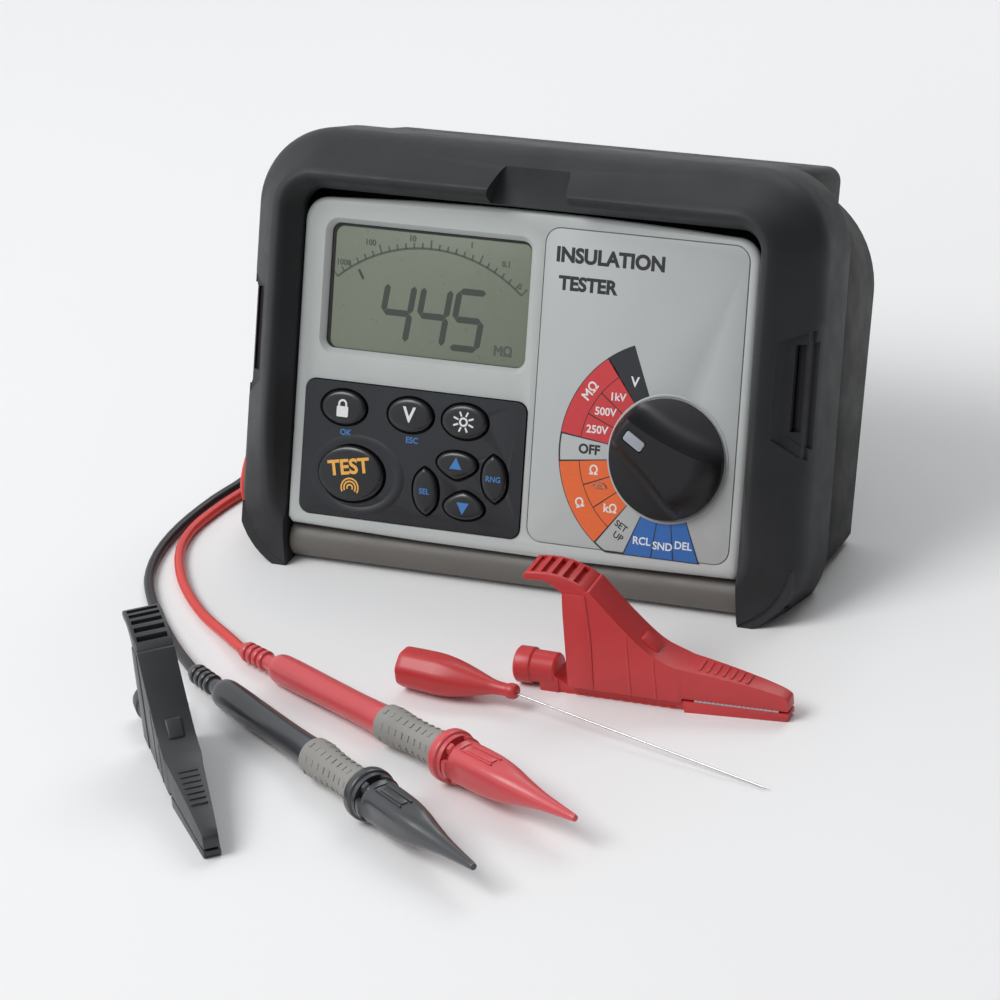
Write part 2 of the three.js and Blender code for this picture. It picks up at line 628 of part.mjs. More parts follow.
function clipLever() {
  const side = [[18.4, 3.6], [57, 3.6], [57, 4.9], [91.3, 3.5], [91.9, 4.6], [92, 7.4], [89.5, 9], [84, 10.6],
    [74.7, 12.6], [63, 14.6], [56.6, 15.4], [48.5, 18.6], [43.4, 23], [37, 29.6], [28.6, 39.4],
    [19.4, 38.4], [18.9, 31]];
  const pad = [[6.1, 41.7], [7.2, 43.6], [13.7, 44.2], [18.7, 43.6], [23, 42.2], [26.3, 40.8],
    [28.7, 38.6], [24.2, 34.6], [19.4, 37], [17, 39.4], [13.2, 41.2], [7.2, 40.7]];
  const trough = block([14, -PLATE_INNER, 0], [57.6, PLATE_INNER, 6.9]);
  const { x, z } = CLIP_PIVOT;
  const lugSlots = mirrored.map((way) => {
    const [low, high] = [LUG.inner - LUG.gap, LUG.outer + LUG.gap].map((y) => way * y).sort((a, b) => a - b);
    return join(rod([x, low, z], [x, high, z], LUG.radius + 1.3, 16), block([x - 6, low, 5], [x + 6, high, z]));
  });
  const slots = [0, 1, 2, 3, 4].map((i) => (
    block([8.8 + i * 3.6, -4.9, 42.8 - i * i * 0.16], [10.8 + i * 3.6, 4.9, 60])));
  const pinHole = clipRod(x, z, 1.7, 5);
  const body = join(clipSlab(side, CLIP_HALF), clipSlab(pad, CLIP_HALF));
  return cut(body, trough, ...lugSlots, ...slots, pinHole).intersect(upperPlan);
}

// ---------- test leads ----------

// Smooth curve through hand-chosen points, in the floor's axes.
function route(points) {
  return new THREE.CatmullRomCurve3(points.map((p) => new THREE.Vector3(...p)), false, 'centripetal');
}

function tube(points) {
  const path = route(points);
  const section = new THREE.Shape();
  for (let i = 0; i < CORD_SIDES; i += 1) {
    const angle = (2 * Math.PI * i) / CORD_SIDES;
    const [x, y] = [CORD_RADIUS * Math.cos(angle), CORD_RADIUS * Math.sin(angle)];
    if (i === 0) section.moveTo(x, y);
    else section.lineTo(x, y);
  }
  const steps = Math.ceil(path.getLength() / CORD_STEP);
  const geometry = new THREE.ExtrudeGeometry(section, { steps, extrudePath: path, bevelEnabled: false });
  return solidOf(geometry);
}

function coil() {
  const { inner, outer, height } = COIL;
  const profile = [[inner, 0], [outer, 0], [outer, height], [inner, height], [inner, 0]];
  const geometry = new THREE.LatheGeometry(profile.map(([r, y]) => new THREE.Vector2(r, y)), 24);
  geometry.rotateX(Math.PI / 2);
  return solidOf(geometry);
}

// ---------- putting the case together ----------

place(leaning, 'front_frame', frontFrame(), CHARCOAL, 0.62);
place(leaning, 'rear_shell', rearCase(), CHARCOAL, 0.6);
place(leaning, 'front_panel', frontPanel(), PALE_GREY, 0.5);
place(leaning, 'dial_label', dialLabel(), PALE_GREY, 0.45);
place(leaning, 'lcd_window', makeWindow(), '#8d9585', 0.15);
place(leaning, 'lcd_module', block([-70, WINDOW_FACE + 1.2, 6], [0, BOARD_DEPTH - 0.3, 45]), '#5d6358', 0.5);
place(leaning, 'keypad_plate', keypadPlate(), '#26282b', 0.45);
place(leaning, 'keypad_mat', keypadMat(), '#4a4d50', 0.8);
for (const key of KEYS) place(leaning, key.name, keyCap(key), '#1f2022', 0.4);
place(leaning, 'selector_knob', selectorKnob(), '#232429', 0.5);
place(leaning, 'knob_pointer', knobPointer(), '#a9b0b6', 0.4);
const shaft = rod([DIAL.x, -5.6, DIAL.z], [DIAL.x, BOARD_DEPTH - 1.9, DIAL.z], 3, 12);
place(leaning, 'selector_shaft', shaft, '#d8d6cf', 0.5);
place(leaning, 'rotary_switch', rotarySwitch(), '#2d4a8a', 0.5);

const BOARD = block([-75.4, BOARD_DEPTH, -44], [84, BOARD_DEPTH + 1.6, 50]);
place(leaning, 'main_board', BOARD, '#1f6b3c', 0.5);
const doorPlate = block([DOOR.left, REAR_FACE - REAR_WALL, DOOR.bottom], [DOOR.right, REAR_FACE, DOOR.top]);
place(leaning, 'battery_door', doorPlate, CHARCOAL, 0.6);

const CELL = { radius: 7.1, length: 50, pitch: 15, count: 4 };
for (let i = 0; i < CELL.count; i += 1) {
  const z = (i - (CELL.count - 1) / 2) * CELL.pitch + 2;
  const cell = rod([-CELL.length / 2, 18, z], [CELL.length / 2, 18, z], CELL.radius, 16);
  place(leaning, `battery_${i + 1}`, cell, '#3a6fb0', 0.35, 0.3);
}

CASE_SCREWS.forEach(([x, z], i) => {
  const screw = join(rod([x, 25.8, z], [x, 28, z], 3, 12), rod([x, 10.4, z], [x, 26, z], 1.4, 10));
  place(leaning, `case_screw_${i + 1}`, screw, STEEL, 0.3, 1);
});

place(leaning, 'lid', lid(), CHARCOAL, 0.62);
for (const side of mirrored) {
  const pin = rod([side * 73, PIVOT.y, PIVOT.z], [side * 95, PIVOT.y, PIVOT.z], PIN_RADIUS, 14);
  place(leaning, `hinge_pin_${sideName(side)}`, pin, STEEL, 0.3, 1);
  const foot = block([side * 72 - 11, 25, 0], [side * 72 + 11, 37, LID_CLEARANCE - 0.3]);
  place(tester, `rear_foot_${sideName(side)}`, foot, '#1c1c1c', 0.9);
}

place(leaning, 'socket_block', socketBlock(), '#202123', 0.5);

// ---------- leads, probes and clips ----------

// A point in the leaning case's axes, given in the floor's axes.
function onFloor(caseX, caseY, caseZ) {
  const point = new THREE.Vector3(caseX, caseY, caseZ).applyMatrix4(leaning.matrixWorld);
  return [point.x, point.y, point.z];
}

// Each lead drops from its plug, runs back beside the case on the floor to a coil behind it, and
// comes forward again beside the case to its probe.
function plugDrop(depth) {
  return [[PLUG_X, depth, PLUG_EXIT_Z], [PLUG_X - 0.9, depth, PLUG_EXIT_Z - 7]].map((p) => onFloor(...p));
}

const LEADS = {
  red: {
    color: RED,
    coil: [-36.5, 172],
    rear: [
      ...plugDrop(SOCKETS.depths.red), onFloor(-99, 12.2, -29), onFloor(-102.6, 12.8, -38),
      [-104.2, -5, 17], [-104, -3.5, 8.5], [-103.9, 4, 3.6], [-103.8, 14, 2.3], [-103.8, 40, 1.8],
      [-103.8, 90, 1.8], [-103.2, 112, 1.8], [-98.6, 130, 1.8], [-88, 140.5, 1.8], [-72, 143.4, 1.8],
      [-60, 147, 1.8], [-51.5, 149.4, 1.8],
    ],
    front: [
      [-51.5, 195.6, 5.4], [-62, 198.8, 4], [-76, 200.6, 2], [-92, 200, 1.8], [-108, 193, 1.8],
      [-117, 180, 1.8], [-118.6, 160, 1.8], [-117.6, 135, 1.8], [-116.6, 100, 1.8], [-116, 60, 1.8],
      [-116.2, 24, 1.8], [-120.6, 5.6, 1.8], [-122.8, -12, 1.8], [-120.3, -26, 1.8],
      [-112.6, -41, 1.8], [-103, -53.6, 1.8], [-90.5, -66, 2], [-78.6, -75.4, 2.8],
      [-69, -83.4, 3.7], [-66.6, -85.4, 3.9],
    ],
    probe: { tail: [-65.9, -85.4], towards: [84.6, -162] },
    clip: { x: 27, y: -73, turn: 0 },
  },
  black: {
    color: BLACK,
    coil: [-86.7, 172],
    rear: [
      ...plugDrop(SOCKETS.depths.black), onFloor(-99.4, 22.6, -29), onFloor(-104, 22, -39),
      [-107.2, 4.6, 13], [-107.9, 9, 5], [-107.7, 19, 2.5], [-107.6, 40, 1.85], [-107.6, 80, 1.8],
      [-107.6, 120, 1.8], [-107.6, 155.4, 1.8],
    ],
    front: [
      [-102.4, 149.8, 5.8], [-108.5, 149.4, 6.8], [-115.5, 147.4, 6.8], [-121.5, 141.5, 5.6],
      [-125.6, 131, 3.2], [-127, 115, 1.9], [-126, 90, 1.8], [-123.4, 60, 1.8], [-120.8, 27, 1.8],
      [-125.2, 8.7, 1.8], [-127.8, -12, 1.8], [-126.5, -31.2, 1.8], [-121.5, -47, 1.8],
      [-115, -58, 1.8], [-107.2, -68.3, 1.8], [-91, -86.8, 2.4], [-79, -99, 3.6],
      [-76.1, -101.9, 3.9],
    ],
    probe: { tail: [-75.5, -102.4], towards: [65.3, -194.4] },
    clip: { x: -79.9, y: -124.2, turn: -51 },
  },
};

function placeProbe(name, { probe, color }) {
  const [tail, towards] = [probe.tail, probe.towards];
  const along = new THREE.Vector3(towards[0] - tail[0], towards[1] - tail[1], 0).normalize();
  along.z = PROBE.rise;
  const group = new THREE.Group();
  group.position.set(...tail, PROBE.tailHeight);
  group.quaternion.setFromUnitVectors(new THREE.Vector3(1, 0, 0), along.normalize());
  tester.add(group);
  place(group, `${name}_probe_handle`, probeHandle(), color, 0.45);
  place(group, `${name}_probe_sleeve`, probeSleeve(), GRIP_GREY, 0.85);
  place(group, `${name}_probe_tip`, probeTip(), STEEL, 0.3, 1);
  const cap = place(group, `${name}_probe_cap`,
    hollowCap(PROBE.tip - PROBE.guard - 0.4, 7.7, 1.1, 1.6), color, 0.45);
  cap.position.x = PROBE.guard + 0.4;
}

function placeClip(name, { clip, color }) {
  const group = new THREE.Group();
  group.position.set(clip.x, clip.y, 0);
  group.rotation.z = THREE.MathUtils.degToRad(clip.turn);
  tester.add(group);
  place(group, `${name}_clip_base`, clipBase(), color, 0.5);
  place(group, `${name}_clip_lever`, clipLever(), color, 0.5);
  place(group, `${name}_clip_pin`, clipRod(CLIP_PIVOT.x, CLIP_PIVOT.z, 1.4, 4.7), color, 0.4);
}

for (const [name, lead] of Object.entries(LEADS)) {
  place(leaning, `${name}_plug`, plug(SOCKETS.depths[name]), lead.color, 0.5);
  place(tester, `${name}_lead_rear`, tube(lead.rear), lead.color, 0.55);
  place(tester, `${name}_lead_front`, tube(lead.front), lead.color, 0.55);
  place(tester, `${name}_coil`, coil(), lead.color, 0.55).position.set(...lead.coil, 0);
  placeProbe(name, lead);
  placeClip(name, lead);
}

const SPARE = { x: -7.8, y: -85.9, turn: -7.7, length: 42, mouth: 6.9 };
const NEEDLE = { from: [30, -91, 6.8], to: [126.6, -114.7, 0.6], radius: 0.5 };
const spare = place(tester, 'spare_probe_cap', hollowCap(SPARE.length, SPARE.mouth, 2.4, 1.6)
  .subtract(rod([SPARE.length - 8, 0, 0], [SPARE.length + 1, 0, 0], 1.6, 10)), RED, 0.45);
spare.position.set(SPARE.x, SPARE.y, SPARE.mouth + 0.05);
spare.rotation.z = THREE.MathUtils.degToRad(SPARE.turn);
place(tester, 'spare_needle', rod(NEEDLE.from, NEEDLE.to, NEEDLE.radius, 6), STEEL, 0.3, 1);

// The whole kit's origin is the middle of its footprint.
const ORIGIN = { x: 12.61, y: -52.832 };
const kit = new THREE.Group();
kit.add(tester);
kit.position.set(-ORIGIN.x, -ORIGIN.y, 0);

export default kit;
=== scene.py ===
import math

import bmesh
import bpy
from mathutils import Matrix, Vector


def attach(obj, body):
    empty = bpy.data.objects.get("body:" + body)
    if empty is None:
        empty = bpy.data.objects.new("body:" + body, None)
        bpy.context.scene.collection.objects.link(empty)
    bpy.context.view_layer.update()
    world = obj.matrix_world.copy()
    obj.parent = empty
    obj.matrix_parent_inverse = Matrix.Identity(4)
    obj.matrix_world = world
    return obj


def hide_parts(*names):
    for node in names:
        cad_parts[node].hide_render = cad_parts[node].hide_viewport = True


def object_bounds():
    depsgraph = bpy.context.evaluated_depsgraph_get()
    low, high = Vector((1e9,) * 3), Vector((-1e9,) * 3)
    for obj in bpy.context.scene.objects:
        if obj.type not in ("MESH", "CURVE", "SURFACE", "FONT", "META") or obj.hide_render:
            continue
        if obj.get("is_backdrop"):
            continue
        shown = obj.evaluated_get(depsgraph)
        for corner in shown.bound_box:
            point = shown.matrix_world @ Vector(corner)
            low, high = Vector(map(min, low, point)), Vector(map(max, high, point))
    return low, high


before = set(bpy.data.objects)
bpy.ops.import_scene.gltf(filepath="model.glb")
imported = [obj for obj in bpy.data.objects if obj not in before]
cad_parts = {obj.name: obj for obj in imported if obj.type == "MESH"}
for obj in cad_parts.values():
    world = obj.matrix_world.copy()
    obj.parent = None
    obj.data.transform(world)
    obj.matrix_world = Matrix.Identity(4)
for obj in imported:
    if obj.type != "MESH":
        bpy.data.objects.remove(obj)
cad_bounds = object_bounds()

# ---------- frames of reference ----------

# Millimetres in the leaning case (x across, y into the depth from the panel's face, z up the panel)
# and millimetres on the floor, both taken to metres in the row's frame.
MM = 0.001
LEAN = math.radians(22)
PANEL_HEIGHT = 66.4
ORIGIN = Vector((12.61, -52.832, 0))
FLOOR = Matrix.Scale(MM, 4) @ Matrix.Translation(-ORIGIN)
CASE = FLOOR @ Matrix.Translation((0, 0, PANEL_HEIGHT)) @ Matrix.Rotation(-LEAN, 4, "X")
CASE_TO_FLOOR = FLOOR.inverted() @ CASE


def on_floor(x, y, z):
    """A point of the case in millimetres on the floor."""
    return tuple(CASE_TO_FLOOR @ Vector((x, y, z)))


def placed(matrix, at, degrees=0.0, axis="Z"):
    """A frame moved to a point of the given one and turned there about its own axis."""
    return matrix @ Matrix.Translation(at) @ Matrix.Rotation(math.radians(degrees), 4, axis)


def polar(center, radius, degrees):
    """The point at a radius and an angle round a centre."""
    angle = math.radians(degrees)
    return center[0] + radius * math.cos(angle), center[1] + radius * math.sin(angle)


# ---------- camera ----------

CAMERA_AT = Vector((584.8, -1198.5, 733.2))
CAMERA_RIGHT = Vector((0.91214, 0.39984, -0.09016))
CAMERA_UP = Vector((-0.11643, 0.46366, 0.87833))
CAMERA_FORWARD = Vector((-0.39300, 0.79066, -0.46947))


def make_camera():
    data = bpy.data.cameras.new("camera")
    data.lens = 164.1
    data.sensor_width = 36
    data.clip_start = 0.05
    camera = bpy.data.objects.new("camera", data)
    bpy.context.scene.collection.objects.link(camera)
    back = -CAMERA_FORWARD
    turn = Matrix((CAMERA_RIGHT, CAMERA_UP, back)).transposed().to_4x4()
    camera.matrix_world = Matrix.Translation(FLOOR @ CAMERA_AT) @ turn
    bpy.context.scene.camera = camera


make_camera()

# ---------- materials ----------


def add_node(tree, kind, links, values):
    """A new node whose inputs are linked to other nodes' outputs or set."""
    node = tree.nodes.new(f"ShaderNode{kind}")
    for socket, source in links.items():
        tree.links.new(source, node.inputs[socket])
    for socket, value in values.items():
        node.inputs[socket].default_value = value
    return node


def map_range(tree, value, before, after):
    values = dict(zip(("From Min", "From Max", "To Min", "To Max"), (*before, *after)))
    return add_node(tree, "MapRange", {"Value": value}, values).outputs["Result"]


class Nodes:
    """A material's node tree, with short calls for the nodes used here."""

    def __init__(self, name):
        self.material = bpy.data.materials.new(name)
        self.material.use_nodes = True
        self.tree = self.material.node_tree
        self.shader = self.tree.nodes["Principled BSDF"]
        self.place = self.tree.nodes.new("ShaderNodeTexCoord").outputs["Object"]

    def noise(self, scale, detail=3.0, roughness=0.5):
        values = {"Scale": scale, "Detail": detail, "Roughness": roughness}
        return add_node(self.tree, "TexNoise", {"Vector": self.place}, values).outputs["Fac"]

    def spread(self, noise, low, high):
        """The middle of a noise's range spread from low to high."""
        return map_range(self.tree, noise, (0.3, 0.7), (low, high))

    def blend(self, factor, first, second):
        node = self.tree.nodes.new("ShaderNodeMix")
        node.data_type = "RGBA"
        node.inputs["A"].default_value = (*first, 1)
        node.inputs["B"].default_value = (*second, 1)
        self.tree.links.new(factor, node.inputs["Factor"])
        return node.outputs["Result"]

    def bump(self, heights):
        """heights is [(value, distance in mm, strength)], laid one over another."""
        under = {}
        for value, distance, strength in heights:
            values = {"Distance": distance * MM, "Strength": strength}
            node = add_node(self.tree, "Bump", {"Height": value, **under}, values)
            under = {"Normal": node.outputs["Normal"]}
        self.link(under["Normal"], "Normal")

    def link(self, value, socket):
        self.tree.links.new(value, self.shader.inputs[socket])

    def set(self, **values):
        for socket, value in values.items():
            self.shader.inputs[socket.replace("_", " ")].default_value = value


def rgb(red, green, blue):
    """Linear colour from 0 to 255 display values."""
    shares = (red / 255, green / 255, blue / 255)
    return tuple(((c + 0.055) / 1.055) ** 2.4 if c > 0.04 else c / 12.92 for c in shares)


def moulded(name, color, rough, grain=0.02, pitch=900, mottle=0.08, coat=0.0, shine=0.5):
    """Moulded plastic or rubber: fine mould grain, faint cloudiness and uneven gloss."""
    nodes = Nodes(name)
    cloud = nodes.noise(38, 4)
    dark = tuple(c * (1 - mottle) for c in color)
    light = tuple(min(c * (1 + mottle), 1) for c in color)
    nodes.link(nodes.blend(nodes.spread(cloud, 0, 1), dark, light), "Base Color")
    smear = nodes.noise(90, 5, 0.6)
    nodes.link(nodes.spread(smear, rough * 0.86, min(rough * 1.14, 1)), "Roughness")
    nodes.bump([(nodes.noise(pitch * 0.22, 2), grain * 1.6, 0.25), (nodes.noise(pitch, 3), grain, 0.5)])
    nodes.set(Specular_IOR_Level=shine)
    if coat:
        nodes.set(Coat_Weight=coat, Coat_Roughness=0.12)
    return nodes.material


def metal(name, color, rough, pitch=400):
    nodes = Nodes(name)
    nodes.set(Metallic=1.0)
    nodes.link(nodes.blend(nodes.noise(pitch, 3), color, tuple(c * 0.86 for c in color)), "Base Color")
    nodes.link(nodes.spread(nodes.noise(pitch * 3, 4), rough * 0.75, rough * 1.3), "Roughness")
    nodes.bump([(nodes.noise(pitch * 5, 2), 0.01, 0.3)])
    return nodes.material


def printed(name, color, rough=0.42):
    """Ink on a plastic label, a little uneven in density."""
    nodes = Nodes(name)
    density = nodes.spread(nodes.noise(1100, 4, 0.65), 0, 1)
    nodes.link(nodes.blend(density, tuple(c * 0.93 for c in color), color), "Base Color")
    nodes.link(nodes.spread(nodes.noise(260, 3), rough * 0.9, rough * 1.1), "Roughness")
    return nodes.material


FRAME = moulded("frame_rubber", rgb(50, 51, 53), 0.5, 0.05, 1500, 0.14, 0, 0.25)
SHELL = moulded("shell_plastic", rgb(40, 40, 41), 0.52, 0.04, 1300, 0.12, 0, 0.2)
BARREL_GREY = moulded("barrel_grey", rgb(102, 99, 94), 0.5, 0.015, 1200, 0.04)
PANEL_GREY = moulded("panel_grey", rgb(182, 187, 185), 0.46, 0.012, 1500, 0.03)
LABEL_GREY = moulded("label_grey", rgb(178, 182, 181), 0.42, 0.01, 1800, 0.02)
LCD_FIELD = printed("lcd_field", rgb(119, 126, 110), 0.3)
LCD_INK = printed("lcd_ink", rgb(66, 71, 66), 0.3)
LCD_FAINT = printed("lcd_faint", rgb(84, 89, 80), 0.3)
KEYPAD = moulded("keypad_dark", rgb(31, 33, 38), 0.44, 0.02, 1500, 0.08)
KEY = moulded("key_rubber", rgb(22, 23, 25), 0.3, 0.01, 1500, 0.08, 0.25)
# Near-black rubber for the key wells, rear feet and socket block; also the colour of the painted shadow
# strip at the LCD's left and top edges.
BLACK_RUBBER_AND_SHADE = moulded("black_rubber_and_painted_shade", rgb(14, 14, 15), 0.6, 0.01, 1500, 0.08)
KNOB = moulded("knob_black", rgb(22, 22, 25), 0.4, 0.012, 1400, 0.08, 0, 0.4)
POINTER = moulded("pointer_grey", rgb(160, 167, 175), 0.4, 0.01, 1400, 0.03)
RED = moulded("moulded_red", rgb(196, 56, 58), 0.36, 0.012, 1100, 0.05)
BLACK = moulded("moulded_black", rgb(52, 53, 55), 0.4, 0.014, 1100, 0.09)
CORD_RED = moulded("cord_red", rgb(214, 62, 56), 0.36, 0.01, 900, 0.05)
CORD_BLACK = moulded("cord_black", rgb(34, 34, 36), 0.38, 0.01, 900, 0.08)
SLEEVE = moulded("sleeve_grey", rgb(147, 145, 140), 0.72, 0.06, 700, 0.07)
STEEL = metal("nickel_steel", rgb(190, 190, 192), 0.24)
INKS = {
    name: printed(f"ink_{name}", rgb(*color)) for name, color in (
        ("dark", (38, 39, 44)), ("red", (206, 58, 62)), ("orange", (233, 106, 48)), ("blue", (46, 104, 178)),
        ("pale", (228, 230, 230)))
}
INK_PALE = INKS["pale"]
INK_YELLOW = printed("ink_yellow", rgb(240, 178, 78))
INK_KEY_BLUE = printed("ink_key_blue", rgb(62, 124, 190))
PROBE_RED = moulded("probe_red", rgb(210, 80, 84), 0.33, 0.01, 1100, 0.04, 0.15)
PROBE_BLACK = moulded("probe_black", rgb(58, 59, 62), 0.32, 0.012, 1100, 0.08, 0.35)
SOLIDS = {"red": RED, "black": BLACK}
HANDLES = {"red": PROBE_RED, "black": PROBE_BLACK}
CORDS = {"red": CORD_RED, "black": CORD_BLACK}

# ---------- mesh making ----------


def link(name, mesh):
    obj = bpy.data.objects.new(name, mesh)
    bpy.context.scene.collection.objects.link(obj)
    return obj


def piece(name, mesh, material, body, replaces=(), smooth=35):
    """Adds a finished mesh as a named piece on a body."""
    mesh.materials.clear()
    mesh.materials.append(material)
    mesh.shade_smooth()
    mesh.set_sharp_from_angle(angle=math.radians(smooth))
    obj = link(name, mesh)
    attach(obj, body)
    if replaces:
        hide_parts(*replaces)
    return obj


def skin(work, rows, closed=True):
    """Faces between neighbouring rows of vertices; a row of one vertex is a pole."""
    for here, there in zip(rows, rows[1:]):
        count = max(len(here), len(there))
        for i in range(count if closed else count - 1):
            j = (i + 1) % count
            corners = [row[k % len(row)] for row, k in ((here, i), (here, j), (there, j), (there, i))]
            if count > 1:
                work.faces.new(list(dict.fromkeys(corners)))


def from_loops(loops, matrix, ring=False):
    """Skins equal loops of 3-D points; closes the ends, or joins last to first for a ring."""
    work = bmesh.new()
    rows = [[work.verts.new(point) for point in loop] for loop in loops]
    skin(work, rows + rows[:1] if ring else rows)
    if not ring:
        work.faces.new(rows[0][::-1])
        work.faces.new(rows[-1])
    return to_mesh(work, matrix)


def to_mesh(work, matrix):
    bmesh.ops.recalc_face_normals(work, faces=work.faces)
    mesh = bpy.data.meshes.new("made")
    work.to_mesh(mesh)
    work.free()
    mesh.transform(matrix)
    return mesh


def upright(points, depth):
    """An outline of the panel's plane at a depth."""
    return [(x, depth, z) for x, z in points]


def slab(points, front, back, matrix=CASE):
    return from_loops([upright(points, front), upright(points, back)], matrix)


def box(low, high, matrix=CASE):
    (x0, y0, z0), (x1, y1, z1) = low, high
    return slab([(x0, z0), (x1, z0), (x1, z1), (x0, z1)], y0, y1, matrix)


def stacked(outline, profile):
    """Skins an outline of the case at each (inset, depth) of a profile."""
    return from_loops([upright(outline(inset), depth) for inset, depth in profile], CASE)


def lathe(stations, matrix, sides=48, squash=None):
    """Turned shape about x from [x, radius]; a station of radius 0 closes an end."""
    work = bmesh.new()
    rows = []
    for x, radius in stations:
        row = []
        for i in range(sides if radius else 1):
            angle = 2 * math.pi * i / sides
            place = (x, radius * math.cos(angle), radius * math.sin(angle))
            row.append(work.verts.new(squash(*place) if squash and radius else place))
        rows.append(row)
    skin(work, rows)
    return to_mesh(work, matrix)


def evaluated(mesh, add_modifiers):
    """The mesh after modifiers that add_modifiers puts on a throwaway object."""
    obj = link("working", mesh)
    extras = add_modifiers(obj) or []
    depsgraph = bpy.context.evaluated_depsgraph_get()
    made = bpy.data.meshes.new_from_object(obj.evaluated_get(depsgraph))
    for used in [obj, *extras]:
        bpy.data.objects.remove(used)
    return made


def combine(mesh, others, operation):
    def add(obj):
        extras = []
        for other in others:
            cutter = link("cutter", other)
            step = obj.modifiers.new("combine", "BOOLEAN")
            step.operation = operation
            step.solver = "EXACT"
            step.object = cutter
            extras.append(cutter)
        return extras

    return evaluated(mesh, add)


def cut(mesh, *others):
    return combine(mesh, others, "DIFFERENCE")


def fuse(mesh, *others):
    return combine(mesh, others, "UNION")


def rounded(mesh, width, segments=3, angle=30):
    """Rounds every edge sharper than angle; width in millimetres."""
    work = bmesh.new()
    work.from_mesh(mesh)
    bmesh.ops.remove_doubles(work, verts=work.verts, dist=2e-6)
    bmesh.ops.dissolve_limit(work, angle_limit=math.radians(1), verts=work.verts, edges=work.edges)
    work.to_mesh(mesh)
    work.free()

    def add(obj):
        step = obj.modifiers.new("round", "BEVEL")
        step.width = width * MM
        step.segments = segments
        step.limit_method = "ANGLE"
        step.angle_limit = math.radians(angle)
        step.use_clamp_overlap = True

    return evaluated(mesh, add)


def soft_box(low, high, matrix, width, segments=2):
    return rounded(box(low, high, matrix), width, segments)


def joined(*meshes):
    """Several meshes as one, their pieces left separate."""
    work = bmesh.new()
    for mesh in meshes:
        work.from_mesh(mesh)
    made = bpy.data.meshes.new("joined")
    work.to_mesh(made)
    work.free()
    return made


def cad_copy(node):
    return bpy.data.objects[node].data.copy()


# ---------- outlines ----------


def round_box(left, right, bottom, top, top_radius, bottom_radius=None, steps=10):
    low = top_radius if bottom_radius is None else bottom_radius
    return [
        *arc(right - top_radius, top - top_radius, top_radius, 0, 90, steps),
        *arc(left + top_radius, top - top_radius, top_radius, 90, 180, steps),
        *arc(left + low, bottom + low, low, 180, 270, steps),
        *arc(right - low, bottom + low, low, 270, 360, steps),
    ]


def filleted(points, radii, steps=4):
    """A closed profile with each corner rounded by its own radius."""
    made = []
    count = len(points)
    for i, (point, radius) in enumerate(zip(points, radii)):
        if not radius:
            made.append(point)
            continue
        here = Vector(point)
        before = Vector(points[i - 1]) - here
        after = Vector(points[(i + 1) % count]) - here
        reach = min(radius, before.length * 0.48, after.length * 0.48)
        start, end = here + before.normalized() * reach, here + after.normalized() * reach
        for k in range(steps + 1):
            t = k / steps
            made.append(tuple((1 - t) ** 2 * start + 2 * t * (1 - t) * here + t * t * end))
    return made


def arc(cx, cz, radius, start, end, steps=24):
    return [polar((cx, cz), radius, start + (end - start) * i / steps) for i in range(steps + 1)]


def eased(t):
    """0 to 1 with a soft start and end, held outside that."""
    t = min(max(t, 0), 1)
    return t * t * (3 - 2 * t)


def turned_by(points, degrees, cx=0.0, cz=0.0):
    c, s = math.cos(math.radians(degrees)), math.sin(math.radians(degrees))
    return [(cx + x * c - z * s, cz + x * s + z * c) for x, z in points]


# ---------- cords ----------

CORD_RADIUS = 1.75
LYING = 1.8
COIL_COLUMNS = (22.6, 19.0, 15.3)
COIL_LEVELS = (1.8, 5.35)
POINTS_A_TURN = 28
PLUG_X = -94.3
PLUG_EXIT_Z = -13.3
SOCKET_DEPTH = {"red": 12.0, "black": 22.6}


def plug_drop(depth):
    return [on_floor(PLUG_X, depth, PLUG_EXIT_Z), on_floor(PLUG_X - 0.9, depth, PLUG_EXIT_Z - 7)]


def coil_turns(center, start, turns, way):
    """Turns wound inwards on the floor, then outwards on top; way is 1 counterclockwise."""
    low, high = COIL_LEVELS
    slots = [(r, low) for r in COIL_COLUMNS] + [(r, high) for r in reversed(COIL_COLUMNS)]
    points = []
    for i in range(int(turns * POINTS_A_TURN) + 1):
        turn = i / POINTS_A_TURN
        lap = min(int(turn), len(slots) - 1)
        here, there = slots[lap], slots[min(lap + 1, len(slots) - 1)]
        t = eased((turn - lap - 0.7) / 0.3)
        radius = here[0] + (there[0] - here[0]) * t
        height = here[1] + (there[1] - here[1]) * t
        angle = math.radians(start) + way * 2 * math.pi * turn
        points.append((center[0] + radius * math.cos(angle), center[1] + radius * math.sin(angle), height))
    return points


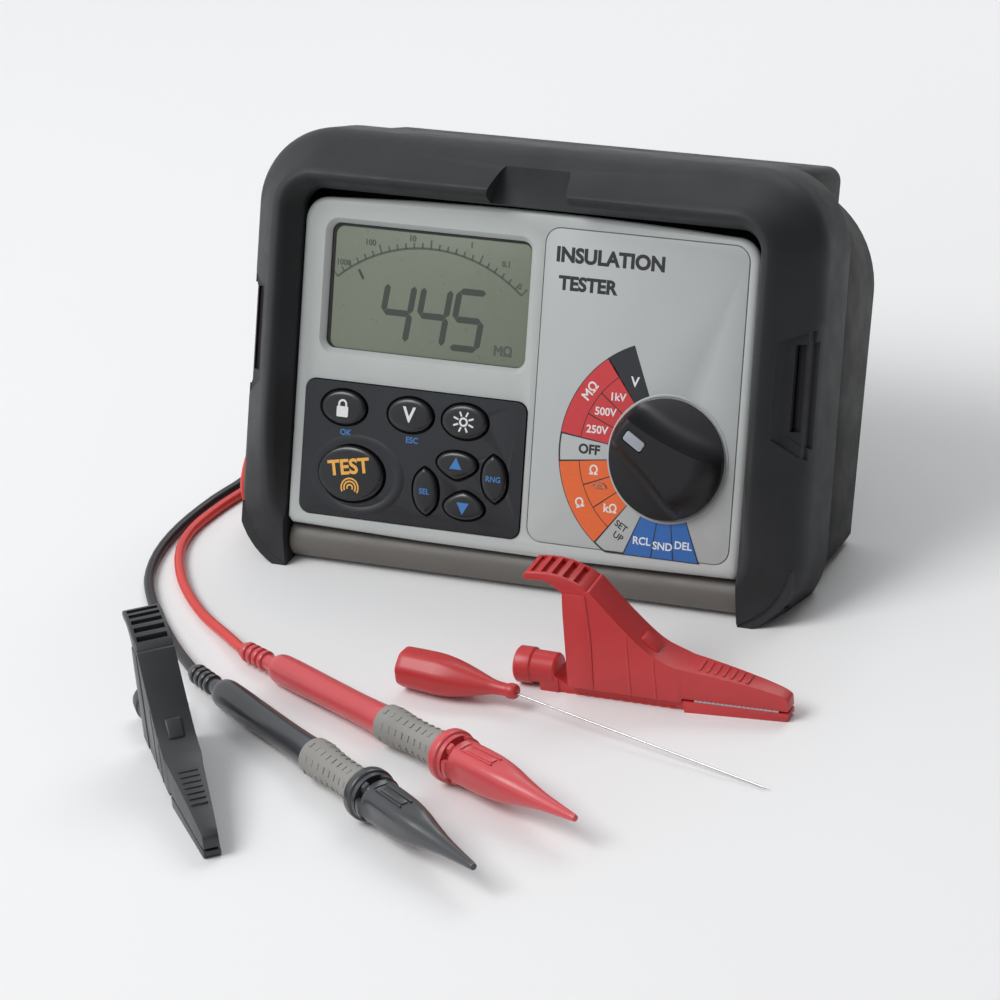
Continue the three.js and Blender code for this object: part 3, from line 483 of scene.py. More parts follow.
# A point without a height lies on the floor.
LEADS = {
    "red": {
        "rear": [
            *plug_drop(SOCKET_DEPTH["red"]), on_floor(-99, 12.2, -29), on_floor(-102.6, 12.8, -38),
            (-104.2, -5, 17), (-104, -3.5, 8.5), (-103.9, 4, 3.6), (-103.8, 14, 2.3), (-103.8, 40),
            (-103.8, 90), (-103.2, 112), (-98.6, 130), (-88, 140.5), (-72, 143.4),
            (-60, 147), (-51.5, 149.4),
        ],
        "coil": [(-36.5, 172), -103, 5.54, 1],
        "front": [
            (-51.5, 195.6, 5), (-62, 198.8, 4), (-76, 200.6, 2), (-92, 200), (-108, 193),
            (-117, 180), (-118.6, 160), (-117.6, 135), (-116.6, 100), (-116, 60),
            (-116.2, 24), (-120.6, 5.6), (-122.8, -12), (-120.3, -26),
            (-112.6, -41), (-103, -53.6), (-90.5, -66, 2), (-78.6, -75.4, 2.8),
            (-69, -83.4, 3.7), (-66.6, -85.4, 3.9),
        ],
    },
    "black": {
        "rear": [
            *plug_drop(SOCKET_DEPTH["black"]), on_floor(-99.4, 22.6, -29), on_floor(-104, 22, -39),
            (-107.2, 4.6, 13), (-107.9, 9, 5), (-107.7, 19, 2.5), (-107.6, 40, 1.85), (-107.6, 80),
            (-107.6, 120), (-107.8, 155.4),
        ],
        "coil": [(-86.7, 172), 180, 5.72, -1],
        "front": [
            (-102.4, 149.8, 5.8), (-108.5, 149.4, 6.8), (-115.5, 147.4, 6.8), (-121.5, 141.5, 5.4),
            (-125.6, 131, 3.2), (-127, 115, 1.9), (-126, 90), (-123.4, 60), (-120.8, 27),
            (-125.2, 8.7), (-127.8, -12), (-126.5, -31.2), (-121.5, -47),
            (-115, -58), (-107.2, -68.3), (-91, -86.8, 2.4), (-79, -99, 3.6),
            (-76.1, -101.9, 3.9),
        ],
    },
}


def smooth_path(points, steps):
    """Centripetal Catmull-Rom curve through the points."""
    def between(a, b, start, end):
        return a * ((end - t) / (end - start)) + b * ((t - start) / (end - start))

    points = [Vector(p) for p in points]
    ends = [2 * points[0] - points[1], *points, 2 * points[-1] - points[-2]]
    made = []
    for p0, p1, p2, p3 in zip(ends, ends[1:], ends[2:], ends[3:]):
        t1 = max((p1 - p0).length, 1e-6) ** 0.5
        t2 = t1 + max((p2 - p1).length, 1e-6) ** 0.5
        t3 = t2 + max((p3 - p2).length, 1e-6) ** 0.5
        for i in range(steps):
            t = t1 + (t2 - t1) * i / steps
            a1, a2, a3 = between(p0, p1, 0, t1), between(p1, p2, t1, t2), between(p2, p3, t2, t3)
            made.append(between(between(a1, a2, 0, t2), between(a2, a3, t1, t3), t1, t2))
    return [*made, points[-1]]


def make_lead(name, lead):
    points = [*lead["rear"], *coil_turns(*lead["coil"]), *lead["front"]]
    points = [(*p, LYING) if len(p) == 2 else p for p in points]
    path = [FLOOR @ p for p in smooth_path(points, 3)]
    curve = bpy.data.curves.new(f"{name}_lead", "CURVE")
    curve.dimensions = "3D"
    curve.bevel_depth = CORD_RADIUS * MM
    curve.bevel_resolution = 4
    curve.use_fill_caps = True
    spline = curve.splines.new("POLY")
    spline.points.add(len(path) - 1)
    for point, place in zip(spline.points, path):
        point.co = (*place, 1)
    curve.materials.append(CORDS[name])
    obj = link(f"{name}_lead", curve)
    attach(obj, "tester")
    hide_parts(f"{name}_lead_rear", f"{name}_coil", f"{name}_lead_front")
    length = sum((b - a).length for a, b in zip(path, path[1:]))
    return obj, path[0], length


def coil_tie(name, lead):
    """A flat strap round the coil's section, at the side away from the entry."""
    outer = round_box(12.9, 25.0, 0.05, 7.5, 2.2, 2.2, 6)
    inner = round_box(13.5, 24.4, 0.35, 7.1, 1.9, 1.9, 6)
    loops = [upright(outline, side) for outline, side in ((outer, -3), (outer, 3), (inner, 3), (inner, -3))]
    at = FLOOR @ Matrix.Translation((*lead["coil"][0], 0)) @ Matrix.Rotation(0.4, 4, "Z")
    return piece(f"{name}_coil_tie", from_loops(loops, at, ring=True), CORD_BLACK, "tester")


def make_leads():
    for name, lead in LEADS.items():
        plug = piece(f"{name}_plug_body", rounded(cad_copy(f"{name}_plug"), 0.5), SOLIDS[name], "tester",
                     [f"{name}_plug"], 40)
        tie = coil_tie(name, lead)
        obj, start, length = make_lead(name, lead)
        print("lead", name, round(length, 4))
        tuple(start)


# ---------- case ----------

CASE_BOX = {"half": 101.5, "top": 77.5, "bottom": -74, "top_radius": 27, "bottom_radius": 28}
LID_BOX = {"half": 98.5, "top": 71, "bottom": -60, "top_radius": 36, "bottom_radius": 16}
OPEN_HALF = 81.4
PIVOT = (8.5, -61)
PIN_RADIUS = 2.8
LEG_FROM = -18
LEG_REACH = 50
LEG_SINK = 0.9
SIDE_POINTS = 14


def case_outline(shape, inset, low_inset=None):
    low = inset if low_inset is None else low_inset
    half = shape["half"] - inset
    return round_box(-half, half, shape["bottom"] + low, shape["top"] - inset,
                     max(shape["top_radius"] - inset, 3), max(shape["bottom_radius"] - low, 3), 16)


def under_floor(height=0.0):
    return box((-300, -300, -200), (300, 300, height), FLOOR)


def floor_plan(points, low, high, matrix):
    """A plan outline of x and y made solid between two heights."""
    return from_loops([[(x, y, height) for x, y in points] for height in (low, high)], matrix)


def pin_bore(low, high):
    stations = [(low, 0), (low, PIN_RADIUS), (high, PIN_RADIUS), (high, 0)]
    return lathe(stations, placed(CASE, (0, *PIVOT)), 32)


def strap_recess(side, inside):
    """Cutter for one step of the recess on a side's bevel; its ends slant outwards."""
    section = [(91 + inside, -20), (91 + inside, -4.2 + inside), (93 + inside, -1.2 + inside),
               (98.4, 2.7 + inside * 0.3), (99.3, 5.2 + inside), (110, 5.4 + inside), (110, -20)]
    loops = []
    for end, slope in ((-8 + inside * 2.2, -0.8), (23.5 - inside * 2.2, 0.45)):
        loops.append([(side * x, d, end + slope * (min(x, 101) - 91)) for x, d in section])
    return from_loops(loops, CASE)


def with_side_points(outline):
    """The outline with points added along each long side edge, for the legs to bend."""
    made = []
    for (x0, z0), (x1, z1) in zip(outline, outline[1:] + outline[:1]):
        made.append((x0, z0))
        if abs(z1 - z0) > 60:
            steps = [t / SIDE_POINTS for t in range(1, SIDE_POINTS)]
            made += [(x0 + (x1 - x0) * t, z0 + (z1 - z0) * t) for t in steps]
    return made


def leg_depth(depth, z):
    """The raised rim of the frame sinks back towards the bottom of the legs."""
    return depth if depth > 0 else depth * (1 - LEG_SINK * eased((LEG_FROM - z) / LEG_REACH))


def make_front_frame():
    inner = CASE_BOX["half"] - OPEN_HALF
    profile = filleted(
        [(0, 28), (0.3, 5), (12.6, -8.5), (15.2, -10), (17.1, -8.2), (inner, -0.9), (inner, 3.2),
         (3.5, 3.2), (3.5, 28)], [1.2, 5, 2.4, 1.6, 2.6, 0.8, 0, 0, 0], 5)
    rings = []
    for inset, depth in profile:
        outline = case_outline(CASE_BOX, inset, inset * 0.75)
        rings.append([(x, leg_depth(depth, z), z) for x, z in with_side_points(outline)])
    body = from_loops(rings, CASE, ring=True)
    envelope = slab(case_outline(CASE_BOX, 0), -20, 40)
    notch = filleted([(-15.5, 50), (19.5, 50), (14.5, 72), (-8.5, 72)], [0, 0, 4, 4], 6)
    plug_pocket = box((-110, 6.5, -46), (-90, 40, 27))
    cutters = [box((-OPEN_HALF, -30, -120), (OPEN_HALF, 60, -40)), slab(notch, -13, -2.2), plug_pocket,
               pin_bore(-96, 96), under_floor()]
    for side in (-1, 1):
        low, high = sorted((side * OPEN_HALF, side * 99))
        boss = combine(box((low, 2.2, -78), (high, 17, -50.5)), [envelope.copy()], "INTERSECT")
        body = fuse(body, boss)
        low, high = sorted((side * 94.9, side * 97.8))
        cutters.append(box((low, -20, -5.6), (high, 12, 22.6)))
        cutters += [strap_recess(side, inside) for inside in (0, 1.7)]
    body = rounded(cut(body, *cutters), 0.5, 2, 32)
    piece("front_frame_moulding", body, FRAME, "tester", ["front_frame"], 38)


def make_lid():
    def outline(inset):
        return case_outline(LID_BOX, inset)

    outer = stacked(outline, [(2.8, 28.6), (0.9, 29.8), (0.2, 32), (0, 40), (1.5, 75)])
    rail = slab(round_box(-82, 82, 60, 75.6, 5, 2), 31, 75)
    cavity = stacked(outline, [(2.6, 31.2), (3.2, 90)])
    tilt = CASE @ Matrix.Translation((0, 63.2, 0)) @ Matrix.Rotation(-math.atan(0.066), 4, "X")
    behind = box((-200, 0, -200), (200, 60, 200), tilt)
    cavity = cut(cavity, under_floor(5.2))
    tray = cut(fuse(outer, rail), under_floor(2.6), cavity, behind)
    arm = [(8.5, -56), (31, -50.8), (31, -56.6), (12, -64.6), (8.5, -65.6)]
    for side in (-1, 1):
        low, high = sorted((side * 56, side * 76))
        tray = fuse(tray, from_loops([[(x, y, z) for y, z in arm] for x in (low, high)], CASE))
    piece("lid_tray", rounded(tray, 0.7, 3, 35), SHELL, "lid", ["lid"], 38)
    radius = 6.3
    stations = [(-81, 0), (-81, radius - 0.6), (-80.4, radius), (80.4, radius), (81, radius - 0.6), (81, 0)]
    barrel = lathe(stations, placed(CASE, (0, *PIVOT)), 64)
    bores = [pin_bore(-90, -72), pin_bore(72, 90)]
    piece("hinge_barrel", cut(barrel, *bores), BARREL_GREY, "lid", (), 35)


def make_rear():
    shell = rounded(cad_copy("rear_shell"), 0.4, 2, 35)
    piece("rear_shell_moulding", shell, SHELL, "tester", ["rear_shell"], 38)
    door = rounded(cad_copy("battery_door"), 0.6, 3, 35)
    ribs = [box((-30, 28.0, z), (30, 28.35, z + 0.9)) for z in (4, 8, 12, 16)]
    door = joined(door, *ribs)
    piece("battery_door_moulding", door, SHELL, "tester", ["battery_door"], 38)
    for side in ("left", "right"):
        pad = rounded(cad_copy(f"rear_foot_{side}"), 0.7, 3, 35)
        piece(f"rear_foot_pad_{side}", pad, BLACK_RUBBER_AND_SHADE, "lid", [f"rear_foot_{side}"])


# ---------- front panel and display ----------

PANEL_HALF = 81.0
LABEL_BOX = (6.6, 77.4, -51, 52, 5)
LCD_BOX = (-71.2, 0.8, 4.8, 46.2, 3)
KEYPAD_BOX = (-76.6, 3.8, -51.2, -6.2, 3.5)
DIAL = (54.2, -18.9)
INK = 0.03
PANEL_STEPS = 24


def grown(shape, grow=0.0):
    left, right, bottom, top, radius = shape
    sides = (left - grow, right + grow, bottom - grow, top + grow)
    return round_box(*sides, max(radius + grow, 0.4), None, 8)


def panel_outline(inset):
    """From the top right corner along the crowned top, down the left side and back along the bottom."""
    half, top, bottom = PANEL_HALF - inset, 54.6 - inset, -55.3 + inset
    corner, foot = 8 - inset * 0.6, 1.6
    sweep = [2 * i / PANEL_STEPS - 1 for i in range(PANEL_STEPS + 1)]
    return [
        *[(-t * (half - corner), top + 2.2 * (1 - t * t)) for t in sweep],
        *[(-half + corner - x, z) for x, z in arc(0, top - corner, corner, 90, 0, 8)[1:]],
        (-half, bottom + foot),
        *[(t * (half - foot), bottom - 1.2 * (1 - t * t)) for t in sweep],
        (half, bottom + foot),
        *[(half - corner + x, z) for x, z in arc(0, top - corner, corner, 0, 90, 8)[:-1]],
    ]


def make_panel():
    rim = [(3.9, 0.2), (3.1, 0.06), (2.3, 0), (1.6, 0.02), (0.9, 0.25), (0.3, 0.8), (0, 1.6), (0, 2.4)]
    plate = stacked(panel_outline, rim)
    bezel = stacked(lambda inset: grown(LCD_BOX, inset),
                    [(2.3, -1), (2.3, 0), (1.9, 0.25), (0.5, 1.7), (0.2, 2.1), (0.2, 5)])
    keypad = slab(grown(KEYPAD_BOX, 0.35), -1, 5)
    seat = slab(grown(LABEL_BOX, 0.35), -1, 0.8)
    hole = slab(arc(*DIAL, 4.2, 0, 352.5, 47), -2, 6)
    panel = rounded(cut(plate, bezel, keypad, seat, hole.copy()), 0.22, 2, 30)
    piece("front_panel_moulding", panel, PANEL_GREY, "tester", ["front_panel"], 40)
    label = cut(slab(grown(LABEL_BOX), 0, 0.5), hole)
    piece("dial_label_film", rounded(label, 0.12, 2, 30), LABEL_GREY, "tester",
          ["dial_label"], 40)
    window = rounded(slab(grown(LCD_BOX, 1.2), 2.7, 3.5), 0.15, 2, 30)
    piece("lcd_pane", window, LCD_FIELD, "tester", ["lcd_window"], 40)
    left, right, bottom, top, radius = LCD_BOX
    # Painted shadow: a near-black strip along the LCD pane's left and top edges only, standing in for the
    # shade inside the window's recess under top-left light.
    shadow_strip = slab(grown(LCD_BOX, 0.15), 2.45, 2.69)
    shadow_strip = cut(shadow_strip, slab(grown((left + 0.9, right + 0.1, bottom - 0.1, top - 0.7, radius)), 0, 5))
    piece("lcd_painted_shadow", shadow_strip, BLACK_RUBBER_AND_SHADE, "tester")


def lettering(text, size, at, top, turn=0.0, weight=0.022):
    """Text as thin mesh in the panel's plane, centred on a point, its ink on the depth top."""
    curve = bpy.data.curves.new("lettering", "FONT")
    curve.body = text
    curve.size = size
    curve.align_x = "CENTER"
    curve.align_y = "CENTER"
    curve.extrude = INK / 2
    curve.bevel_depth = size * weight
    curve.bevel_resolution = 0
    curve.resolution_u = 4
    obj = link("lettering", curve)
    mesh = bpy.data.meshes.new_from_object(obj.evaluated_get(bpy.context.evaluated_depsgraph_get()))
    bpy.data.objects.remove(obj)
    flat = INK / (INK + 2 * size * weight)
    stand = Matrix.Rotation(math.radians(90), 4, "X") @ Matrix.Diagonal((1, 1, flat, 1))
    spin = Matrix.Rotation(math.radians(-turn), 4, "Y")
    mesh.transform(CASE @ Matrix.Translation((at[0], top - INK / 2, at[1])) @ spin @ stand)
    return mesh


def printed_shape(points, depth=0.0):
    return slab(points, depth - INK, depth)


def stripe(points, width, depth=0.0):
    """A thin printed band along two or more points."""
    left, right = [], []
    for i, point in enumerate(points):
        before, after = Vector(points[max(i - 1, 0)]), Vector(points[min(i + 1, len(points) - 1)])
        along = (after - before).normalized()
        normal = Vector((-along.y, along.x)) * width / 2
        left.append(tuple(Vector(point) + normal))
        right.append(tuple(Vector(point) - normal))
    return printed_shape([*left, *reversed(right)], depth)


SEGMENTS = {"4": "fgbc", "5": "afgcd"}
LCD_FACE = 2.67
SCALE_CENTER = (-35.5, -11.4)
SCALE_RADIUS = 52.0


def seven_segments(digit, x, z, width, height, thick):
    """A slanted seven-segment digit whose lower left corner is at x and z."""
    lean = 0.13
    gap = thick * 0.55
    middle, top = height / 2, height
    ends = {
        "a": ((gap, top), (width - gap, top)), "g": ((gap, middle), (width - gap, middle)),
        "d": ((gap, 0), (width - gap, 0)), "f": ((0, middle + gap), (0, top - gap)),
        "b": ((width, middle + gap), (width, top - gap)), "c": ((width, gap), (width, middle - gap)),
    }
    meshes = []
    for name in SEGMENTS[digit]:
        a, b = (Vector(p) for p in ends[name])
        along = (b - a).normalized() * thick / 2
        across = Vector((-along.y, along.x))
        corners = [a - along, a + across, b + across, b + along, b - across, a - across]
        meshes.append(printed_shape([(x + p.x + lean * p.y, z + p.y) for p in corners], LCD_FACE))
    return meshes


def make_display():
    def tick(angle, start, end, width):
        return stripe([polar(SCALE_CENTER, r, angle) for r in (start, end)], width, LCD_FACE)

    strong = []
    for digit, x in (("4", -52.6), ("4", -39.4), ("5", -26.6)):
        strong += seven_segments(digit, x, 9.0, 9.6, 18.8, 2.1)
    faint = [stripe(arc(*SCALE_CENTER, SCALE_RADIUS, 50, 130, 48), 0.7, LCD_FACE)]
    for i in range(25):
        reach = 3.0 if i % 6 == 0 else 1.8
        faint.append(tick(50 + 80 * i / 24, SCALE_RADIUS, SCALE_RADIUS + reach, 0.5))
    for text, angle in (("0", 49), ("0.1", 61), ("1", 75), ("10", 97), ("100", 113), ("1000", 128)):
        x, z = polar(SCALE_CENTER, SCALE_RADIUS + 4.6, angle)
        faint.append(lettering(text, 2.7, (min(max(x, -67), -2.8), min(z, 43.4)), LCD_FACE, 0, 0.035))
    faint.append(lettering("MΩ", 4.4, (-7.4, 9.4), LCD_FACE, 0, 0.04))
    strong.append(tick(121, 46.4, 50, 0.9))
    piece("lcd_figures", joined(*strong), LCD_INK, "tester")
    piece("lcd_scale", joined(*faint), LCD_FAINT, "tester")


# ---------- dial ----------

RING_OUTER = 38.0
RING_MIDDLE = 31.0
RING_INNER = 20.9
STRAIGHT_CUT = 32.5


def dial_sector(start, end, inner, outer, depth, grow=0.0):
    """A piece of the printed ring round the knob, cut straight at the bottom."""
    def reach(angle, radius):
        down = -math.sin(math.radians(angle))
        limit = (STRAIGHT_CUT + grow) / down if down > 0.3 else radius
        return min(radius, limit)

    steps = max(int((end - start) / 3), 2)
    swell = math.degrees(grow / outer)
    angles = [start - swell + (end - start + 2 * swell) * i / steps for i in range(steps + 1)]
    far = [(reach(a, outer + grow), a) for a in angles]
    near = [(inner - grow, a) for a in reversed(angles)]
    return printed_shape([polar(DIAL, r, a) for r, a in [*far, *near]], depth)


def make_dial_print():
    line = 0.28
    inset = math.degrees(line / RING_OUTER)

    def fields(angles, inner, outer):
        """Coloured fields between neighbouring angles, over the dark ones that outline them."""
        return [dial_sector(start + inset, end - inset, inner, outer, -INK)
                for start, end in zip(angles, angles[1:])]

    def words(rows, top):
        """rows is [(text, size, angle, radius, turn)]."""
        return [lettering(text, size, polar(DIAL, radius, angle), top, turn)
                for text, size, angle, radius, turn in rows]

    dark = [dial_sector(*span, RING_INNER, RING_OUTER, 0, line)
            for span in ((112, 127), (127, 173), (187, 232), (248, 292))]
    dark.append(stripe(arc(*DIAL, RING_OUTER, 173, 187, 8), 2 * line))
    rim = [(min(RING_OUTER, STRAIGHT_CUT / -math.sin(math.radians(a))), a) for a in range(232, 249)]
    dark.append(stripe([polar(DIAL, r, a) for r, a in rim], 2 * line))
    outer_ring = (RING_MIDDLE + line / 2, RING_OUTER)
    inner_ring = (RING_INNER, RING_MIDDLE - line / 2)
    red = fields((127, 173), *outer_ring) + fields((127, 142.3, 157.6, 173), *inner_ring)
    orange = fields((187, 232), *outer_ring) + fields((187, 202, 217, 232), *inner_ring)
    blue = fields((248, 264, 277.5, 292), RING_INNER, RING_OUTER)
    high = -1.5 * INK
    pale = words([("V", 4.6, 119, 27, 0), ("MΩ", 4.3, 146, 34.3, 56), ("1kV", 3.6, 136, 26.1, 0),
                  ("500V", 3.6, 150.4, 26.1, 0), ("250V", 3.6, 165, 26.1, 0), ("Ω", 4.2, 194.5, 26.3, 0),
                  ("kΩ", 3.9, 224.5, 26.3, 0), ("Ω", 4.2, 211, 34.5, 20)], high)
    bell = polar(DIAL, 26.3, 209.5)
    pale += [stripe(arc(*bell, r, 20, 160, 10), 0.5, -INK) for r in (0.9, 1.8, 2.7)]
    pale += words([(text, 3.5, angle, 28.6, 0)
                   for text, angle in (("RCL", 255.8), ("SND", 270.8), ("DEL", 285.2))], high)
    dark.append(lettering("OFF", 4.3, polar(DIAL, 27.5, 180), 0, 0, 0.04))
    dark += words([("SET", 3.0, 238.5, 27.8, -30), ("UP", 3.0, 240.5, 31.2, -30)], 0)
    dark += [lettering("INSULATION", 6.6, (29.6, 43.4), 0, 0, 0.045),
             lettering("TESTER", 6.2, (22.2, 34.2), 0, 0, 0.045)]
    prints = {"dark": dark, "red": red, "orange": orange, "blue": blue, "pale": pale}
    for name, meshes in prints.items():
        piece(f"print_{name}", joined(*meshes), INKS[name], "tester")


KNOB_ANGLE = 148.0
KNOB_RADIUS = 19.8
KNOB_ROWS = 72
KNOB_STRIP = 10


def grip_half(x):
    """Half the grip's width: narrow at the pointer, flaring towards the far side."""
    return 4.3 + 6.6 * max(0.0, (17 - x) / 34) ** 1.8


def knob_height(x, y):
    """The knob's height over the panel: a flat-topped grip with a hollow scoop on each side."""
    radius = math.hypot(x, y)
    start, fall = (15.8, 4.0) if x > 0 else (11.5, 8.3)
    slope = min(max((radius - start) / fall, 0), 1)
    top = 8.2 - 5.4 * slope ** 2.2
    low = 3.1 - 1.1 * (radius / KNOB_RADIUS) ** 3
    away = min(max(abs(y) - grip_half(x), 0) / 7.5, 1)
    return low + (max(top, low) - low) * (1 - away) ** 2.4


def make_knob():
    work = bmesh.new()
    rows = []
    for i in range(KNOB_ROWS + 1):
        x = KNOB_RADIUS * math.cos(math.radians(2 + 176 * i / KNOB_ROWS))
        limit = math.sqrt(KNOB_RADIUS ** 2 - x * x)
        half = min(grip_half(x), limit * 0.9)
        across = []
        for low, high in ((-limit, -half), (-half, half), (half, limit)):
            across += [low + (high - low) * j / KNOB_STRIP for j in range(KNOB_STRIP)]
        across.append(limit)
        flat = turned_by([(x, y) for y in across], KNOB_ANGLE, *DIAL)
        rows.append([work.verts.new((px, -knob_height(x, y), pz)) for (px, pz), y in zip(flat, across)])
    skin(work, rows, closed=False)
    edges = [edge for edge in work.edges if edge.is_boundary]
    wall = bmesh.ops.extrude_edge_only(work, edges=edges)["geom"]
    for vert in (item for item in wall if isinstance(item, bmesh.types.BMVert)):
        vert.co.y = -0.7
    bmesh.ops.holes_fill(work, edges=[edge for edge in work.edges if edge.is_boundary])
    knob = to_mesh(work, CASE)
    seat = slab(turned_by(round_box(6.4, 14.6, -2.1, 2.1, 0.9), KNOB_ANGLE, *DIAL), -12, -7.0)
    piece("knob_grip", cut(knob, seat), KNOB, "knob", ["selector_knob"], 32)
    insert = slab(turned_by(round_box(6.75, 14.25, -1.75, 1.75, 0.8), KNOB_ANGLE, *DIAL), -8.45, -7.2)
    piece("knob_insert", rounded(insert, 0.25, 3, 30), POINTER, "knob", ["knob_pointer"], 35)
    ring = [(0.1, 20.3), (0.25, 20.3), (0.35, 20.6), (0.25, 21.0), (0.0, 21.2), (-0.1, 21.2)]
    ring = lathe(ring, placed(CASE, (DIAL[0], 0, DIAL[1]), -90), 72)
    piece("dial_ring", ring, LABEL_GREY, "tester")


# ---------- keypad ----------

KEYS = {
    "lock": (-62, -14.6, 8.2, 5.7, "oval", 0), "volts": (-37.6, -14.6, 8.2, 5.7, "oval", 0),
    "light": (-17.8, -14.6, 8.2, 5.7, "oval", 0), "test": (-58, -36.4, 12.2, 9.3, "oval", 0),
    "up": (-19.6, -28.8, 7.3, 4.7, "fan", 180), "right": (-5.9, -32.4, 4.5, 7.8, "lens", 6),
    "down": (-16.2, -43, 7.3, 4.7, "fan", 0), "left": (-30.4, -39.2, 4.5, 7.8, "lens", 6),
}
KEY_STEPS = 56
KEY_TOP = -1.5
KEYPAD_FACE = -0.4


def key_outline(key, grow):
    x, z, rx, rz, shape, turn = KEYS[key]
    points = []
    for i in range(KEY_STEPS):
        angle = 2 * math.pi * i / KEY_STEPS
        s = math.sin(angle)
        px, pz = math.cos(angle) * (rx + grow), s * (rz + grow)
        if shape == "lens":
            px *= 1 - 0.55 * s ** 6
        if shape == "fan":
            px *= 1 - 0.42 * max(s, 0) ** 2
            pz *= 0.86 if s < 0 else 1.1
        points.append((px, pz))
    return turned_by(points, turn, x, z)


def make_keypad():
    bed = slab(grown(KEYPAD_BOX, -0.6), 1.0, 1.5)
    sleeves = [slab(key_outline(key, 0.15), -5, 5) for key in KEYS]
    piece("keypad_wells", cut(bed, *sleeves), BLACK_RUBBER_AND_SHADE, "tester")
    well = [(0.75, -5), (0.75, KEYPAD_FACE), (0.5, KEYPAD_FACE + 0.4), (0.5, 5)]
    wells = [stacked(lambda grow: key_outline(key, grow), well) for key in KEYS]
    plate = rounded(cut(slab(grown(KEYPAD_BOX), KEYPAD_FACE, 1.6), *wells), 0.25, 2, 35)
    center = (KEYS["test"][0] + 2.0, KEYS["test"][1] - 0.4)
    sweep = [2 * math.pi * k / 72 for k in range(72)]
    rings = []
    for radius, height in ((13.6, -0.2), (13.6, 0.0), (14.6, 0.3), (15.8, 0.42), (16.8, 0.25), (17.6, 0.0),
                           (17.6, -0.2)):
        rings.append([(center[0] + radius * math.cos(a),
                       KEYPAD_FACE - height * (0.62 + 0.38 * math.cos(a + 0.5)) + 0.03,
                       center[1] + radius * math.sin(a) * 0.78) for a in sweep])
    dish = from_loops(rings, CASE, ring=True)
    piece("keypad_moulding", joined(plate, dish), KEYPAD, "tester", ["keypad_plate"], 40)
    crown = [(-1.9, KEY_TOP - 0.28), (-1.1, KEY_TOP - 0.2), (-0.45, KEY_TOP + 0.05), (-0.1, KEY_TOP + 0.5),
             (0, KEY_TOP + 1.0), (0, 1.8)]
    for key in KEYS:
        cap = stacked(lambda grow: key_outline(key, grow), crown)
        piece(f"key_cap_{key}", cap, KEY, f"key_{key}", [f"button_{key}"], 50)


def make_key_marks():
    face = KEY_TOP - 0.3
    at = {key: values[:2] for key, values in KEYS.items()}
    marks = {}
    x, z = at["lock"]
    shackle = stripe([(x - 1.3, z + 0.4), *arc(x, z + 1.2, 1.3, 180, 0, 12), (x + 1.3, z + 0.4)], 0.7, face)
    body = slab(round_box(x - 2.1, x + 2.1, z - 3.1, z + 0.5, 0.4, None, 3), face - INK, face)
    marks["lock"] = ([shackle, body], INK_PALE)
    marks["volts"] = ([lettering("V", 7.2, at["volts"], face)], INK_PALE)
    x, z = at["light"]
    rays = [stripe(arc(x, z, 1.25, 0, 360, 20), 0.7, face)]
    for a in (math.pi * k / 4 + 0.39 for k in range(8)):
        c, s = math.cos(a), math.sin(a)
        rays.append(stripe([(x + 2.0 * c, z + 1.9 * s), (x + 3.9 * c, z + 3.6 * s)], 0.62, face))
    marks["light"] = (rays, INK_PALE)
    x, z = at["test"]
    word = lettering("TEST", 7.0, (x - 0.4, z + 2.1), face, 10, 0.03)
    waves = [stripe(arc(x + 0.4, z - 4.6, r, -30, 210, 16), 0.55, face) for r in (1.0, 2.1, 3.1)]
    marks["test"] = ([word, *waves], INK_YELLOW)
    for key, way in (("up", 1), ("down", -1)):
        x, z = at[key]
        wedge = [(x - 2.2, z - 1.7 * way), (x + 2.2, z - 1.7 * way), (x, z + 2.3 * way)]
        marks[key] = ([printed_shape(wedge, face)], INK_KEY_BLUE)
    for key, text in (("left", "SEL"), ("right", "RNG")):
        marks[key] = ([lettering(text, 2.6, at[key], face)], INK_KEY_BLUE)
    for key, (meshes, ink) in marks.items():
        piece(f"key_mark_{key}", joined(*meshes), ink, f"key_{key}")
    notes = [lettering(text, 2.8, (at[key][0] + 1, -23.0), KEYPAD_FACE)
             for text, key in (("OK", "lock"), ("ESC", "volts"))]
    piece("keypad_notes", joined(*notes), INK_KEY_BLUE, "tester")


# ---------- probes ----------

PROBES = {
    "red": (Vector((-65.9, -85.4, 3.98)), Vector((84.6, -162, 0))),
    "black": (Vector((-75.5, -102.4, 3.98)), Vector((65.3, -194.4, 0))),
}
PROBE_RISE = 0.0444
GUARD = 112.0
CAP_LENGTH = 55.6


def probe_matrix(name):
    tail, towards = PROBES[name]
    along = Vector((towards.x - tail.x, towards.y - tail.y, 0)).normalized()
    along.z = PROBE_RISE
    turn = Vector((1, 0, 0)).rotation_difference(along.normalized())
    return FLOOR @ Matrix.Translation(tail) @ turn.to_matrix().to_4x4()


def smooth_stations(stations):
    """Stations joined by a smooth curve instead of straight cones."""
    path = smooth_path([(x, r, 0) for x, r in stations], 5)
    return [(p.x, max(p.y, 0.05)) for p in path]


def cap_section(x, y, z):
    """The push-on cap is round at its mouth and its tip and slightly square between."""
    radius = math.hypot(y, z)
    blend = max(0.0, min((x - 2.5) / 3, (34 - x) / 16, 1.0))
    angle = math.atan2(z, y)
    flat = 1 - 0.075 * blend * (1 + math.cos(4 * angle))
    return x, radius * flat * math.cos(angle), radius * flat * math.sin(angle)


